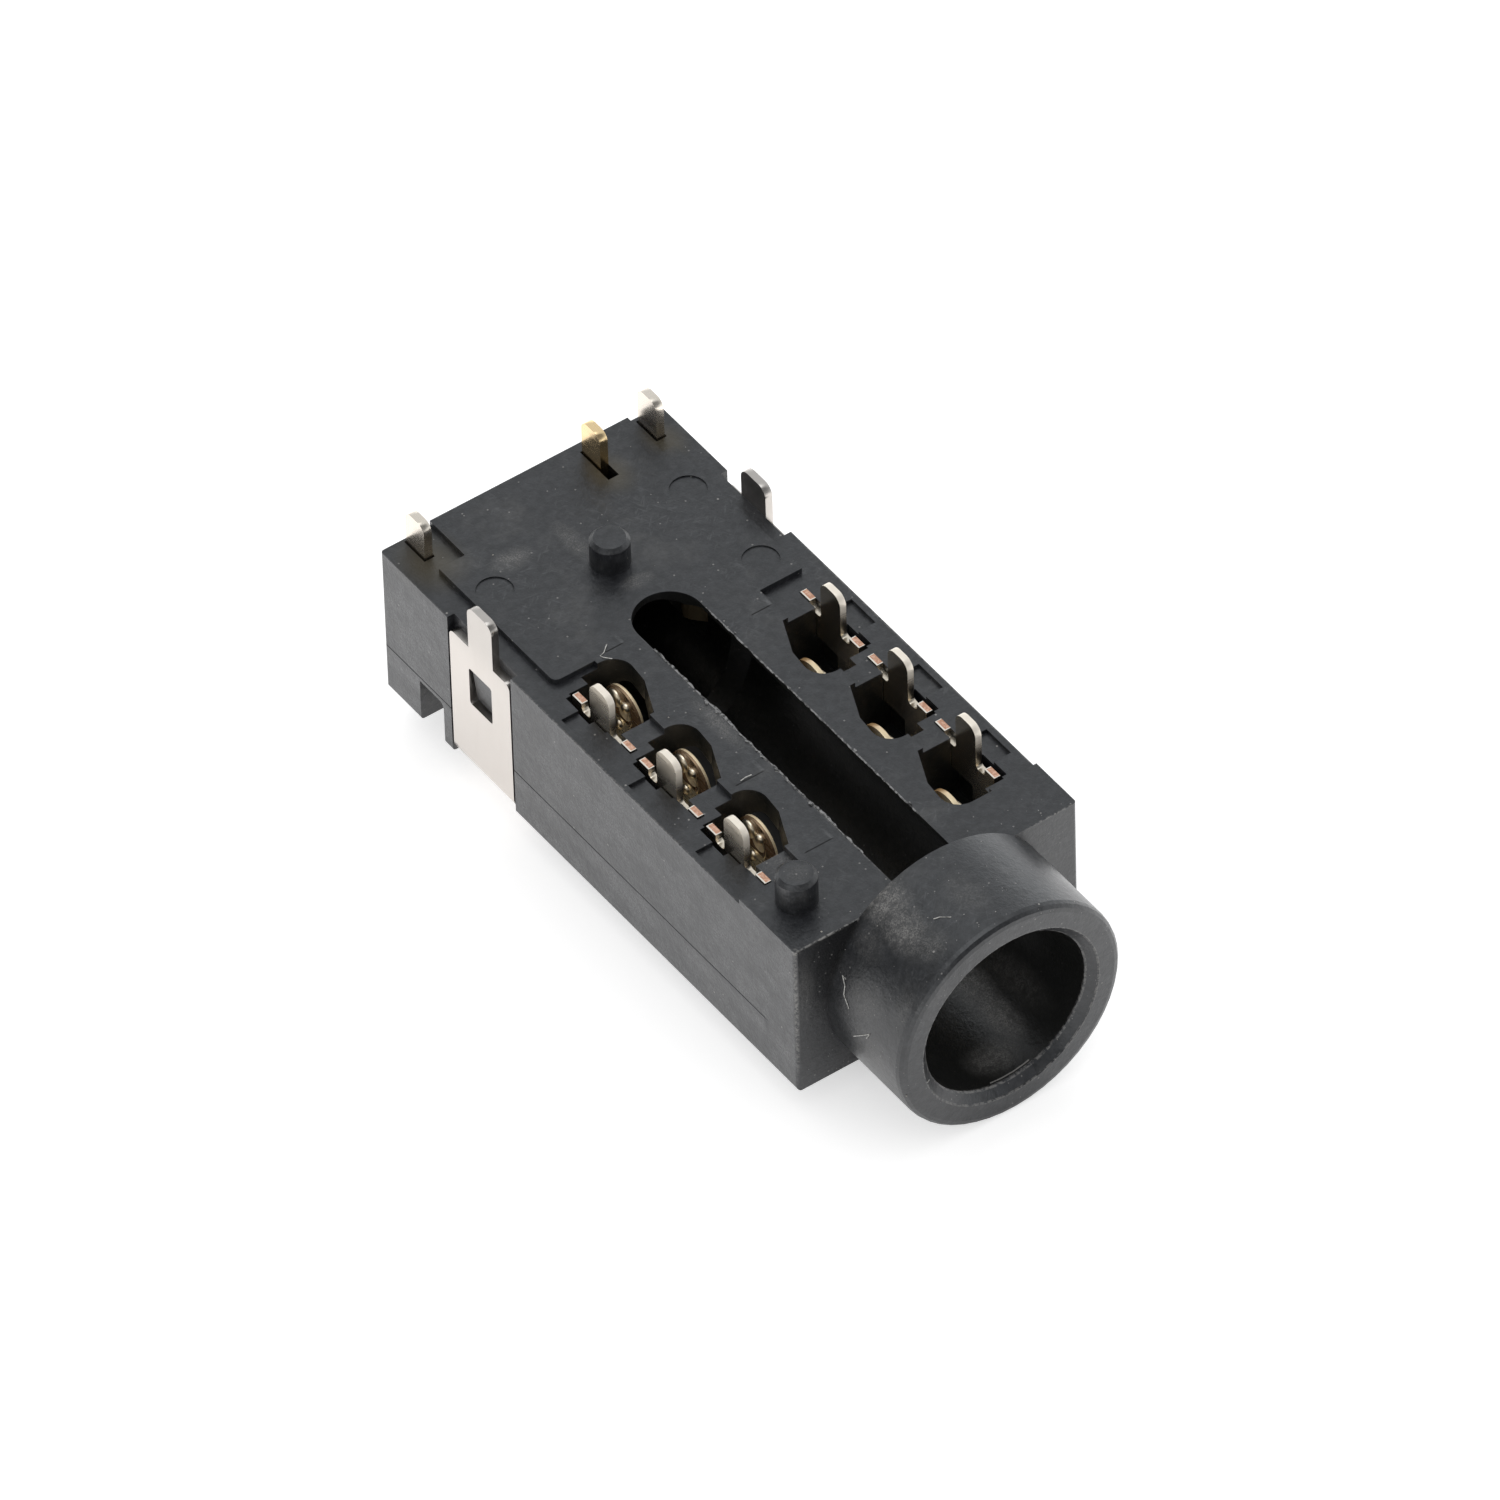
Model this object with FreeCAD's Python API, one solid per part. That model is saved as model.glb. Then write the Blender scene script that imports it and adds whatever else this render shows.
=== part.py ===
import FreeCAD, Part
import math
import os

V = FreeCAD.Vector

# Board-mounted 3.5 mm audio jack socket, in millimetres. The origin is on the plug axis in the
# plane of the body's front face. +Y runs from the mouth to the rear, +X is to the right seen from
# the mouth, and +Z points at the circuit board, so the pins stand up.

# plug bore and nose
bore_d = 3.6
nose_d = 5.0
nose_length = 2.28
nose_lip_round = 0.16
nose_lip_turns = (0, 30, 60, 90)
mouth_chamfer = 0.19
bore_narrows_y = 8.3
bore_taper = 0.4
tip_bore_d = 3.2
tip_bore_end_y = 11.2
bore_end_y = 12.0
bore_end_d = 1.6

# body block
body_width = 6.38
body_length = 13.1
axis_height = 1.88
seat_height = 3.65
field_drop = 0.125
edge_round = 0.08

# raised seat that lies on the board
strip_left = 1.74
strip_right = 1.76
left_field_front_y = 1.72
left_field_rear_y = 8.28
right_field_front_y = 1.25
right_field_rear_y = 7.93
plateau_left = 2.65
plateau_right = 2.72
ledge_length = 1.13
left_ledge = 2.06
right_ledge = 2.45
plateau_corner = 0.15

# slots along the bore, one through each large face
slot_width = 1.4
slot_rear_y = 9.05
lower_slot_front_y = 1.0
lower_slot_rear_y = 8.7

# locating pegs and ejector marks
rear_peg_x = 0.0
rear_peg_y = 10.22
rear_peg_d = 0.78
rear_peg_height = 0.62
front_peg_x = -2.35
front_peg_y = 1.08
front_peg_d = 0.8
front_peg_height = 0.7
peg_chamfer = 0.08
ejector_d = 0.73
ejector_depth = 0.03
ejector_marks = [(-2.15, 10.88), (2.25, 10.88), (2.25, 8.58)]

# six identical side contacts, u measured along the body from each contact's centre
contact_t = 0.14
contact_pitch = 2.11
contacts_per_side = 3
left_middle_y = 4.86
right_middle_y = 4.50
plate_x = 2.46
wing_height = 0.75
blade_width = 0.62
blade_u = 0.04
blade_rise = 0.7
blade_corner = 0.22
plate_reach = 0.92
pad_length = 0.3
pad_rise = 0.03
relief_depth = 0.17
relief_round = 0.08
leaf_t = 0.1
leaf_x = 1.59
leaf_knee_z = 0.7
leaf_foot_x = 1.85
leaf_foot_z = 0.1
leaf_bend = 0.15
stem_front_u = 0.2
stem_rear_u = 0.8
paddle_u = 0.61
paddle_z = 0.9
paddle_r = 0.57
dimple_foot_d = 0.6
dimple_crown_d = 0.22
dimple_hollow_d = 0.5
dimple_rise = 0.17

# wells that hold the side contacts
channel_clearance = 0.01
well_clearance = 0.02
well_front_u = -0.43
well_rear_u = 1.22
well_inner_x = 1.22
well_waist_x = 1.3
well_waist_u = 0.35
well_front_x = 1.64
well_corner = 0.42
well_step_x = 2.12
well_step_u = 1.0
well_open_z = 0.2
well_bottom_gap = 0.05
pocket_side_gap = 0.1
blade_recess_front_u = -0.22
blade_recess_rear_u = 0.54
blade_recess_x = 3.05
blade_recess_depth = 0.08
pad_gap_front_u = 0.2
pad_gap_width = 0.12
pad_gap_depth = 0.6

# retaining clip
clip_t = 0.16
clip_front_y = 8.98
clip_rear_y = 10.9
clip_shoulder_z = 1.4
clip_tab_front_y = 9.5
clip_tab_rear_y = 10.28
left_tab_rise = 0.73
right_tab_rise = 0.58
clip_tab_corner = 0.22
clip_corner = 0.15
clip_bend_radius = 0.15
clip_clearance = 0.05
window_front_y = 9.58
window_rear_y = 10.3
window_bottom_z = -0.08
window_top_z = 0.84
window_corner = 0.06
barb_margin = 0.07
barb_thick = 0.12
barb_thin = 0.03

# notches between the clip and the rear foot
notch_length = 0.77
notch_height = 1.03
notch_depth = 1.2
notch_round = 0.15

# rear chambers and their terminals, each pin set back from the rear face to its front edge
chamber_front_y = 9.4
chamber_height = 1.0
chamber_outer_x = 2.82
left_chamber_inner_x = 1.35
right_chamber_inner_x = 1.17
terminal_t = 0.18
terminal_width = 0.6
terminal_corner = 0.2
terminal_clearance = 0.03
terminal_foot = 0.2
arm_t = 0.12
arm_height = 0.6
arm_bend = 0.12
tip_pin_x = 1.33
tip_pin_set_back = 0.84
tip_pin_rise = 0.85
left_pin_x = -2.57
left_pin_set_back = 0.69
left_pin_rise = 0.7
right_pin_x = 2.7
right_pin_set_back = 0.71
right_pin_rise = 0.78
tip_arm_x = 1.72
tip_touch_x = 1.4
tip_touch_y = 9.95
switch_arm_x = 2.25
switch_arm_end_y = 10.2
left_arm_x = 1.85
left_touch_x = 1.42
left_touch_y = 10.1
touch_half_length = 0.38

# levels and lengths worked out from the sizes above
lower_z = -axis_height
seat_z = seat_height - axis_height
field_z = seat_z - field_drop
half_width = body_width / 2
bore_r = bore_d / 2
nose_r = nose_d / 2
pad_z = field_z + pad_rise
relief_z = pad_z - relief_depth
blade_z = seat_z + blade_rise
wing_z = pad_z - wing_height
well_bottom_z = leaf_foot_z - leaf_t / 2 - well_bottom_gap
channel_inner_x = plate_x - contact_t / 2 - channel_clearance
channel_outer_x = plate_x + contact_t / 2 + channel_clearance
well_outer_x = plate_x + contact_t / 2 + well_clearance
pocket_inner_x = leaf_foot_x - leaf_t / 2 - pocket_side_gap
clip_inner_x = half_width - clip_t
chamber_half = chamber_height / 2
above = seat_z + 1.0
ledge_front_y = body_length - ledge_length
notch_rear_y = ledge_front_y
notch_front_y = notch_rear_y - notch_length
tip_hole_front_y = ledge_front_y
tip_pin_front_y = body_length - tip_pin_set_back
left_pin_front_y = body_length - left_pin_set_back
right_pin_front_y = body_length - right_pin_set_back


def box(x0, x1, y0, y1, z0, z1):
    return Part.makeBox(x1 - x0, y1 - y0, z1 - z0, V(x0, y0, z0))


def rounded_face(corners, place):
    """Flat face with each corner (a, b, radius) rounded by its own radius."""
    edges = []
    starts = []
    ends = []
    arcs = []
    count = len(corners)
    for i, (a, b, radius) in enumerate(corners):
        here = V(a, b, 0)
        before = V(corners[i - 1][0], corners[i - 1][1], 0) - here
        after_corner = corners[(i + 1) % count]
        after = V(after_corner[0], after_corner[1], 0) - here
        if radius <= 0:
            starts.append(here)
            ends.append(here)
            arcs.append(None)
            continue
        before.normalize()
        after.normalize()
        half_angle = before.getAngle(after) / 2
        middle = before + after
        middle.normalize()
        reach = radius / math.tan(half_angle)
        starts.append(here + before * reach)
        ends.append(here + after * reach)
        arcs.append(here + middle * (radius / math.sin(half_angle) - radius))
    for i in range(count):
        if arcs[i] is not None:
            spots = [place(p.x, p.y) for p in (starts[i], arcs[i], ends[i])]
            edges.append(Part.Arc(*spots).toShape())
        line_start = ends[i]
        line_end = starts[(i + 1) % count]
        if (line_end - line_start).Length > 1e-6:
            run = Part.LineSegment(place(line_start.x, line_start.y), place(line_end.x, line_end.y))
            edges.append(run.toShape())
    return Part.Face(Part.Wire(Part.__sortEdges__(edges)))


def plan_prism(corners, z0, z1):
    face = rounded_face(corners, lambda x, y: V(x, y, z0))
    return face.extrude(V(0, 0, z1 - z0))


def side_prism(corners, x0, x1):
    face = rounded_face(corners, lambda y, z: V(x0, y, z))
    return face.extrude(V(x1 - x0, 0, 0))


def front_prism(corners, y0, y1):
    face = rounded_face(corners, lambda x, z: V(x, y0, z))
    return face.extrude(V(0, y1 - y0, 0))


def bent_strip(path, thickness, inner_bend):
    """Corners of a strip of even thickness that follows a path and bends with one inner radius."""
    left = []
    right = []
    half = thickness / 2
    for i, (a, b) in enumerate(path):
        here = V(a, b, 0)
        steps = []
        if i > 0:
            steps.append(here - V(path[i - 1][0], path[i - 1][1], 0))
        if i < len(path) - 1:
            steps.append(V(path[i + 1][0], path[i + 1][1], 0) - here)
        for step in steps:
            step.normalize()
        normals = [V(-step.y, step.x, 0) for step in steps]
        if len(normals) == 1:
            left.append((here + normals[0] * half, 0))
            right.append((here - normals[0] * half, 0))
            continue
        mitre = normals[0] + normals[1]
        mitre.normalize()
        reach = half / mitre.dot(normals[0])
        turns_left = steps[0].x * steps[1].y - steps[0].y * steps[1].x > 0
        outer_bend = inner_bend + thickness
        left.append((here + mitre * reach, inner_bend if turns_left else outer_bend))
        right.append((here - mitre * reach, outer_bend if turns_left else inner_bend))
    loop = left + right[::-1]
    return [(p.x, p.y, radius) for p, radius in loop]


def round_bar(x, y, diameter, z0, z1):
    return Part.makeCylinder(diameter / 2, z1 - z0, V(x, y, z0), V(0, 0, 1))


def turned_about_axis(profile):
    """Solid turned about the plug axis from (radius, y) points."""
    points = [V(radius, y, 0) for radius, y in profile]
    face = Part.Face(Part.makePolygon(points + points[:1]))
    return face.revolve(V(0, 0, 0), V(0, 1, 0), 360)


def dimple(x, foot_d, crown_d):
    """Cone with a flat crown, raised towards the plug from a face of the paddle."""
    return Part.makeCone(foot_d / 2, crown_d / 2, dimple_rise, V(x, paddle_u, paddle_z), V(1, 0, 0))


def nose():
    profile = [(0, -nose_length)]
    for turn in nose_lip_turns:
        angle = math.radians(turn)
        inward = nose_lip_round * (1 - math.sin(angle))
        forward = nose_lip_round * (1 - math.cos(angle))
        profile.append((nose_r - inward, -nose_length + forward))
    profile += [(nose_r, 0), (0, 0)]
    return turned_about_axis(profile)


def bore():
    mouth_y = -nose_length
    return turned_about_axis([
        (0, mouth_y - 1),
        (bore_r + mouth_chamfer + 1, mouth_y - 1),
        (bore_r, mouth_y + mouth_chamfer),
        (bore_r, bore_narrows_y),
        (tip_bore_d / 2, bore_narrows_y + bore_taper),
        (tip_bore_d / 2, tip_bore_end_y),
        (bore_end_d / 2, bore_end_y),
        (0, bore_end_y),
    ])


def body_block():
    base = box(-half_width, half_width, 0, body_length, lower_z, field_z)
    rounded = []
    for edge in base.Edges:
        long_and_low = edge.BoundBox.ZMax < lower_z + 1e-6 and edge.BoundBox.YLength > body_width
        upright = edge.BoundBox.ZLength > axis_height
        if long_and_low or upright:
            rounded.append(edge)
    return base.makeFillet(edge_round, rounded)


def seat():
    """Raised face that lies on the board: front block, strips beside the slot and rear plateau."""
    outline = [
        (-half_width, 0, edge_round),
        (half_width, 0, edge_round),
        (half_width, right_field_front_y, 0),
        (strip_right, right_field_front_y, 0),
        (strip_right, right_field_rear_y, 0),
        (plateau_right, right_field_rear_y, 0),
        (plateau_right, ledge_front_y, 0),
        (right_ledge, ledge_front_y, 0),
        (right_ledge, body_length, 0),
        (-left_ledge, body_length, 0),
        (-left_ledge, ledge_front_y, 0),
        (-plateau_left, ledge_front_y, 0),
        (-plateau_left, left_field_rear_y, plateau_corner),
        (-strip_left, left_field_rear_y, 0),
        (-strip_left, left_field_front_y, 0),
        (-half_width, left_field_front_y, 0),
    ]
    return plan_prism(outline, 0, seat_z)


def slot(front_y, rear_y, z0, z1):
    half = slot_width / 2
    run = box(-half, half, front_y, rear_y - half, z0, z1)
    return run.fuse(round_bar(0, rear_y - half, slot_width, z0, z1))


def peg(x, y, diameter, height):
    post = round_bar(x, y, diameter, field_z - 0.1, seat_z + height)
    top = [edge for edge in post.Edges if edge.BoundBox.ZMin > seat_z]
    return post.makeChamfer(peg_chamfer, top)


def contact_well():
    """Space for one contact of the left row, centred on y = 0."""
    open_part = plan_prism([
        (-well_front_x, well_front_u, 0),
        (-well_waist_x, well_waist_u, 0),
        (-well_inner_x, well_rear_u, well_corner),
        (-well_step_x, well_rear_u, 0),
        (-well_step_x, well_step_u, 0),
        (-well_outer_x, well_step_u, 0),
        (-well_outer_x, well_front_u, 0),
    ], well_open_z, above)
    reach = plate_reach + well_clearance
    pocket = box(-well_outer_x, -pocket_inner_x, stem_front_u - pocket_side_gap,
                 stem_rear_u + pocket_side_gap, well_bottom_z, well_open_z)
    channel = box(-channel_outer_x, -channel_inner_x, -reach, reach, wing_z, above)
    recess = box(-blade_recess_x, -plate_x, blade_recess_front_u, blade_recess_rear_u,
                 field_z - blade_recess_depth, above)
    gap_outer = channel_outer_x + pad_gap_width
    pad_gap = box(-gap_outer, -plate_x, pad_gap_front_u, reach, field_z - pad_gap_depth, above)
    return open_part.fuse([pocket, channel, recess, pad_gap])


def in_left_row(shape):
    return in_row(shape, left_middle_y, 0)


def in_right_row(shape):
    return in_row(shape, right_middle_y, 180)


def in_row(shape, middle_y, turn):
    """Copies of a left-row shape along one side, turned about Z; the first copy is rearmost."""
    copies = []
    for i in range(contacts_per_side):
        copy = shape.copy()
        copy.rotate(V(0, 0, 0), V(0, 0, 1), turn)
        offset = (contacts_per_side - 1) / 2 - i
        copy.translate(V(0, middle_y + offset * contact_pitch, 0))
        copies.append(copy)
    return copies


def clip_seat():
    """Shallow band around both sides and the lower face that lets the clip lie flush."""
    front = clip_front_y - clip_clearance
    rear = clip_rear_y + clip_clearance
    band = box(-half_width - 1, half_width + 1, front, rear, lower_z - 1, above)
    core_round = clip_bend_radius + well_clearance
    core = front_prism([
        (-clip_inner_x, lower_z + clip_t, core_round),
        (clip_inner_x, lower_z + clip_t, core_round),
        (clip_inner_x, above + 1, 0),
        (-clip_inner_x, above + 1, 0),
    ], front, rear)
    return band.cut(core)


def barb(side):
    """Wedge that snaps into one window of the clip, thickest at its top."""
    top = window_top_z - barb_margin
    bottom = window_bottom_z + barb_margin
    root = clip_inner_x - barb_thin
    wedge = front_prism([
        (side * root, bottom, 0),
        (side * (clip_inner_x + barb_thin), bottom, 0),
        (side * (clip_inner_x + barb_thick), top, 0),
        (side * root, top, 0),
    ], window_front_y + barb_margin, window_rear_y - barb_margin)
    return wedge


def foot_notch(side):
    profile = [
        (notch_front_y, lower_z - 1, 0),
        (notch_rear_y, lower_z - 1, 0),
        (notch_rear_y, lower_z + notch_height, 0),
        (notch_front_y, lower_z + notch_height, notch_round),
    ]
    inner = half_width - notch_depth
    outer = half_width + 1
    return side_prism(profile, min(side * inner, side * outer), max(side * inner, side * outer))


def pin_hole(x, front_y, rear_y):
    half = terminal_t / 2 + terminal_clearance
    return box(x - half, x + half, front_y, rear_y, 0, above)


def rear_chambers():
    rear = body_length + 1
    left = box(-chamber_outer_x, -left_chamber_inner_x, chamber_front_y, rear,
               -chamber_half, chamber_half)
    right = box(right_chamber_inner_x, chamber_outer_x, chamber_front_y, rear,
                -chamber_half, chamber_half)
    gap = terminal_clearance
    holes = [
        pin_hole(tip_pin_x, tip_hole_front_y, tip_pin_front_y + terminal_width + gap),
        pin_hole(left_pin_x, left_pin_front_y - gap, left_pin_front_y + terminal_width + gap),
        pin_hole(right_pin_x, right_pin_front_y - gap, right_pin_front_y + terminal_width + gap),
    ]
    return [left, right] + holes


def housing():
    body = body_block().fuse([seat(), nose()])
    body = body.fuse([
        peg(rear_peg_x, rear_peg_y, rear_peg_d, rear_peg_height),
        peg(front_peg_x, front_peg_y, front_peg_d, front_peg_height),
    ])
    body = body.removeSplitter()
    well = contact_well()
    cuts = [bore(), clip_seat(), foot_notch(-1), foot_notch(1)]
    cuts.append(slot(0, slot_rear_y, 0, above))
    cuts.append(slot(lower_slot_front_y, lower_slot_rear_y, lower_z - 1, 0))
    cuts += in_left_row(well) + in_right_row(well)
    cuts += rear_chambers()
    for x, y in ejector_marks:
        cuts.append(round_bar(x, y, ejector_d, seat_z - ejector_depth, above))
    body = body.cut(cuts)
    body = body.fuse([barb(-1), barb(1)])
    return body.removeSplitter()


def contact_plate():
    """Upright plate: blade for the board with a sheared pad and a wing on either side."""
    blade_front_u = blade_u - blade_width / 2
    blade_rear_u = blade_u + blade_width / 2
    pad_inner = plate_reach - pad_length
    outline = [
        (-plate_reach, wing_z, 0),
        (-plate_reach, pad_z, 0),
        (-pad_inner, pad_z, 0),
        (-pad_inner, relief_z, relief_round),
        (blade_front_u, relief_z, relief_round),
        (blade_front_u, blade_z, blade_corner),
        (blade_rear_u, blade_z, blade_corner),
        (blade_rear_u, relief_z, relief_round),
        (pad_inner, relief_z, relief_round),
        (pad_inner, pad_z, 0),
        (plate_reach, pad_z, 0),
        (plate_reach, wing_z, 0),
    ]
    return side_prism(outline, -plate_x - contact_t / 2, -plate_x + contact_t / 2)


def contact_leaf():
    """Stem, bend and spring leaf in one strip, which ends in a round paddle with a dimple."""
    front_u = paddle_u - paddle_r
    rear_u = paddle_u + paddle_r
    top_z = wing_z + contact_t
    path = [
        (-plate_x, top_z),
        (-plate_x, leaf_foot_z),
        (-leaf_foot_x, leaf_foot_z),
        (-leaf_x, leaf_knee_z),
        (-leaf_x, paddle_z + paddle_r),
    ]
    strip = front_prism(bent_strip(path, leaf_t, leaf_bend), front_u, rear_u)
    reach = plate_x + contact_t
    stem = box(-reach, 0, stem_front_u, stem_rear_u, leaf_foot_z - contact_t, top_z)
    paddle = Part.makeCylinder(paddle_r, leaf_foot_x, V(-leaf_foot_x, paddle_u, paddle_z), V(1, 0, 0))
    leaf = strip.common(stem.fuse(paddle))
    leaf = leaf.fuse(dimple(-leaf_x + leaf_t / 2, dimple_foot_d, dimple_crown_d))
    hollow_crown_d = dimple_hollow_d - (dimple_foot_d - dimple_crown_d)
    return leaf.cut(dimple(-leaf_x - leaf_t / 2, dimple_hollow_d, hollow_crown_d))


def side_contact():
    contact = contact_plate().fuse(contact_leaf())
    return contact.removeSplitter()


def clip_side(side):
    """One side plate of the clip with its solder tab and its window."""
    tab_top = seat_z + (left_tab_rise if side < 0 else right_tab_rise)
    start_z = lower_z + clip_t + clip_bend_radius
    profile = [
        (clip_front_y, start_z, 0),
        (clip_rear_y, start_z, 0),
        (clip_rear_y, clip_shoulder_z, clip_corner),
        (clip_tab_rear_y, clip_shoulder_z, 0),
        (clip_tab_rear_y, tab_top, clip_tab_corner),
        (clip_tab_front_y, tab_top, clip_tab_corner),
        (clip_tab_front_y, clip_shoulder_z, 0),
        (clip_front_y, clip_shoulder_z, clip_corner),
    ]
    near = min(side * clip_inner_x, side * half_width)
    far = max(side * clip_inner_x, side * half_width)
    plate = side_prism(profile, near, far)
    window = side_prism([
        (window_front_y, window_bottom_z, window_corner),
        (window_rear_y, window_bottom_z, window_corner),
        (window_rear_y, window_top_z, window_corner),
        (window_front_y, window_top_z, window_corner),
    ], near - 1, far + 1)
    return plate.cut(window)


def retaining_clip():
    """Sheet-metal clip that wraps the lower face and both sides of the housing."""
    middle = clip_t / 2
    start_z = lower_z + clip_t + clip_bend_radius
    outer_x = half_width - middle
    path = [
        (-outer_x, start_z),
        (-outer_x, lower_z + middle),
        (outer_x, lower_z + middle),
        (outer_x, start_z),
    ]
    trough = front_prism(bent_strip(path, clip_t, clip_bend_radius), clip_front_y, clip_rear_y)
    return trough.fuse([clip_side(-1), clip_side(1)]).removeSplitter()


def terminal_post(x, front_y, rise):
    """Rear solder pin with a rounded top, standing on the plate that fills the chamber height."""
    rear_y = front_y + terminal_width
    top = seat_z + rise
    outline = [
        (front_y, top, terminal_corner),
        (rear_y, top, terminal_corner),
        (rear_y, chamber_half, 0),
        (rear_y, -chamber_half, 0),
        (front_y - terminal_foot, -chamber_half, 0),
        (front_y - terminal_foot, chamber_half, 0),
        (front_y, chamber_half, 0),
    ]
    return side_prism(outline, x - terminal_t / 2, x + terminal_t / 2)


def terminal_arm(path):
    arm = plan_prism(bent_strip(path, arm_t, arm_bend), -arm_height / 2, arm_height / 2)
    return arm


def tip_contact():
    """Spring that presses on the plug's tip, with its pin at the right rear."""
    start_y = tip_pin_front_y - terminal_foot / 2
    arm = terminal_arm([
        (tip_pin_x, start_y),
        (tip_arm_x, start_y - 2 * (tip_arm_x - tip_pin_x)),
        (tip_arm_x, tip_touch_y + touch_half_length),
        (tip_touch_x, tip_touch_y),
        (tip_arm_x, tip_touch_y - touch_half_length),
    ])
    return terminal_post(tip_pin_x, tip_pin_front_y, tip_pin_rise).fuse(arm).removeSplitter()


def switch_terminal():
    """Fixed switch contact beside the tip spring, with its pin at the right rear corner."""
    start_y = right_pin_front_y - terminal_foot / 2
    arm = terminal_arm([
        (right_pin_x, start_y),
        (switch_arm_x, start_y - 2 * (right_pin_x - switch_arm_x)),
        (switch_arm_x, switch_arm_end_y),
    ])
    return terminal_post(right_pin_x, right_pin_front_y, right_pin_rise).fuse(arm).removeSplitter()


def detect_contact():
    """Spring on the left of the tip bore, with its pin on the rear left ledge."""
    start_y = left_pin_front_y - terminal_foot / 2
    arm = terminal_arm([
        (left_pin_x, start_y),
        (-left_arm_x, start_y - 1.5 * (-left_pin_x - left_arm_x)),
        (-left_arm_x, left_touch_y + touch_half_length),
        (-left_touch_x, left_touch_y),
        (-left_arm_x, left_touch_y - touch_half_length),
    ])
    return terminal_post(left_pin_x, left_pin_front_y, left_pin_rise).fuse(arm).removeSplitter()


def write_part(name, shape):
    solids = shape.Solids
    if len(solids) == 1:
        shape = solids[0]
    shape.exportStep("parts/" + name + ".step")
    print(name, "solids", len(solids), "valid", shape.isValid(), "volume", round(shape.Volume, 4))


def main():
    os.makedirs("parts", exist_ok=True)
    write_part("housing", housing())
    write_part("retaining_clip", retaining_clip())
    contact = side_contact()
    for i, shape in enumerate(in_left_row(contact)):
        write_part("left_contact_" + str(i + 1), shape)
    for i, shape in enumerate(in_right_row(contact)):
        write_part("right_contact_" + str(i + 1), shape)
    write_part("tip_contact", tip_contact())
    write_part("switch_terminal", switch_terminal())
    write_part("detect_contact", detect_contact())


main()
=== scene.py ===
import bpy
import bmesh
import math
import random
from mathutils import Matrix, Vector


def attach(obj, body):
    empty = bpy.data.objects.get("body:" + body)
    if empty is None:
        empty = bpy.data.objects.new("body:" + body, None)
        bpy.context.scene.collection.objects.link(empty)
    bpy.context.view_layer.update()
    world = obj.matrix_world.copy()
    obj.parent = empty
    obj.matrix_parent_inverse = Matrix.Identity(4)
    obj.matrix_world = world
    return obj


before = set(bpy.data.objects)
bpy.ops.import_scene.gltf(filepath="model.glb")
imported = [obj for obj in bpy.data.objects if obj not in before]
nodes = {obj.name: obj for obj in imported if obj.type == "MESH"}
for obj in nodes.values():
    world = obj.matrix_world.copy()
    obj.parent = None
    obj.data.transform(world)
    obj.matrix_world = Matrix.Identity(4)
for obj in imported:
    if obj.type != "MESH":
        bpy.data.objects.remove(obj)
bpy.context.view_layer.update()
mm = 0.001
print("frame loaded:", len(nodes), "CAD nodes")


# small helpers for node trees
def addNode(tree, kind, settings=None, values=None):
    node = tree.nodes.new(kind)
    for name, value in (settings or {}).items():
        setattr(node, name, value)
    for name, value in (values or {}).items():
        node.inputs[name].default_value = value
    return node


def maths(tree, operation, first, second=None, third=None, clamp=False):
    node = addNode(tree, "ShaderNodeMath", {"operation": operation, "use_clamp": clamp})
    for i, part in enumerate((first, second, third)):
        if part is None:
            continue
        if isinstance(part, (int, float)):
            node.inputs[i].default_value = part
        else:
            tree.links.new(part, node.inputs[i])
    return node.outputs[0]


def smoothStep(tree, value, low, high):
    node = addNode(tree, "ShaderNodeMapRange", {"interpolation_type": "SMOOTHSTEP"},
                   {"From Min": low, "From Max": high})
    tree.links.new(value, node.inputs["Value"])
    return node.outputs["Result"]


def mixColours(tree, factor, first, second):
    node = addNode(tree, "ShaderNodeMix", {"data_type": "RGBA"})
    for name, part in (("Factor", factor), ("A", first), ("B", second)):
        socket = [s for s in node.inputs if s.name == name and s.enabled][0]
        if isinstance(part, (int, float)):
            socket.default_value = part
        elif isinstance(part, tuple):
            socket.default_value = part if len(part) == 4 else (*part, 1)
        else:
            tree.links.new(part, socket)
    return [s for s in node.outputs if s.enabled][0]


def stretched(tree, place, scale, turn=(0, 0, 0)):
    # the place is turned first and then multiplied by the scale, so the pattern keeps its direction
    node = addNode(tree, "ShaderNodeMapping", {"vector_type": "TEXTURE"},
                   {"Scale": [1 / s for s in scale], "Rotation": [math.radians(a) for a in turn]})
    tree.links.new(place, node.inputs["Vector"])
    return node.outputs[0]


def noise(tree, place, scale, detail, roughness):
    node = addNode(tree, "ShaderNodeTexNoise", {"noise_dimensions": "3D"},
                   {"Scale": scale, "Detail": detail, "Roughness": roughness})
    tree.links.new(place, node.inputs["Vector"])
    return node.outputs["Fac"]


def pattern(tree, place, facts):
    # noise with one part of its range spread over 0 to 1
    scale, detail, roughness, low, high = facts
    return smoothStep(tree, noise(tree, place, scale, detail, roughness), low, high)


def fade(tree, value, start, end):
    # from 0 at start to 1 at end, both in millimetres
    return smoothStep(tree, value, start * mm, end * mm)


def within(tree, value, limits):
    # 1 between two limits in millimetres, and 0 elsewhere
    low, high = limits
    above = maths(tree, "GREATER_THAN", value, low * mm)
    return maths(tree, "MULTIPLY", above, maths(tree, "LESS_THAN", value, high * mm))


def fromAxis(tree, x, z):
    # distance from the axis of the bore
    return maths(tree, "SQRT", maths(tree, "MULTIPLY_ADD", x, x, maths(tree, "MULTIPLY", z, z)))


def allOf(tree, masks):
    total = masks[0]
    for mask in masks[1:]:
        total = maths(tree, "MULTIPLY", total, mask)
    return total


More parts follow.
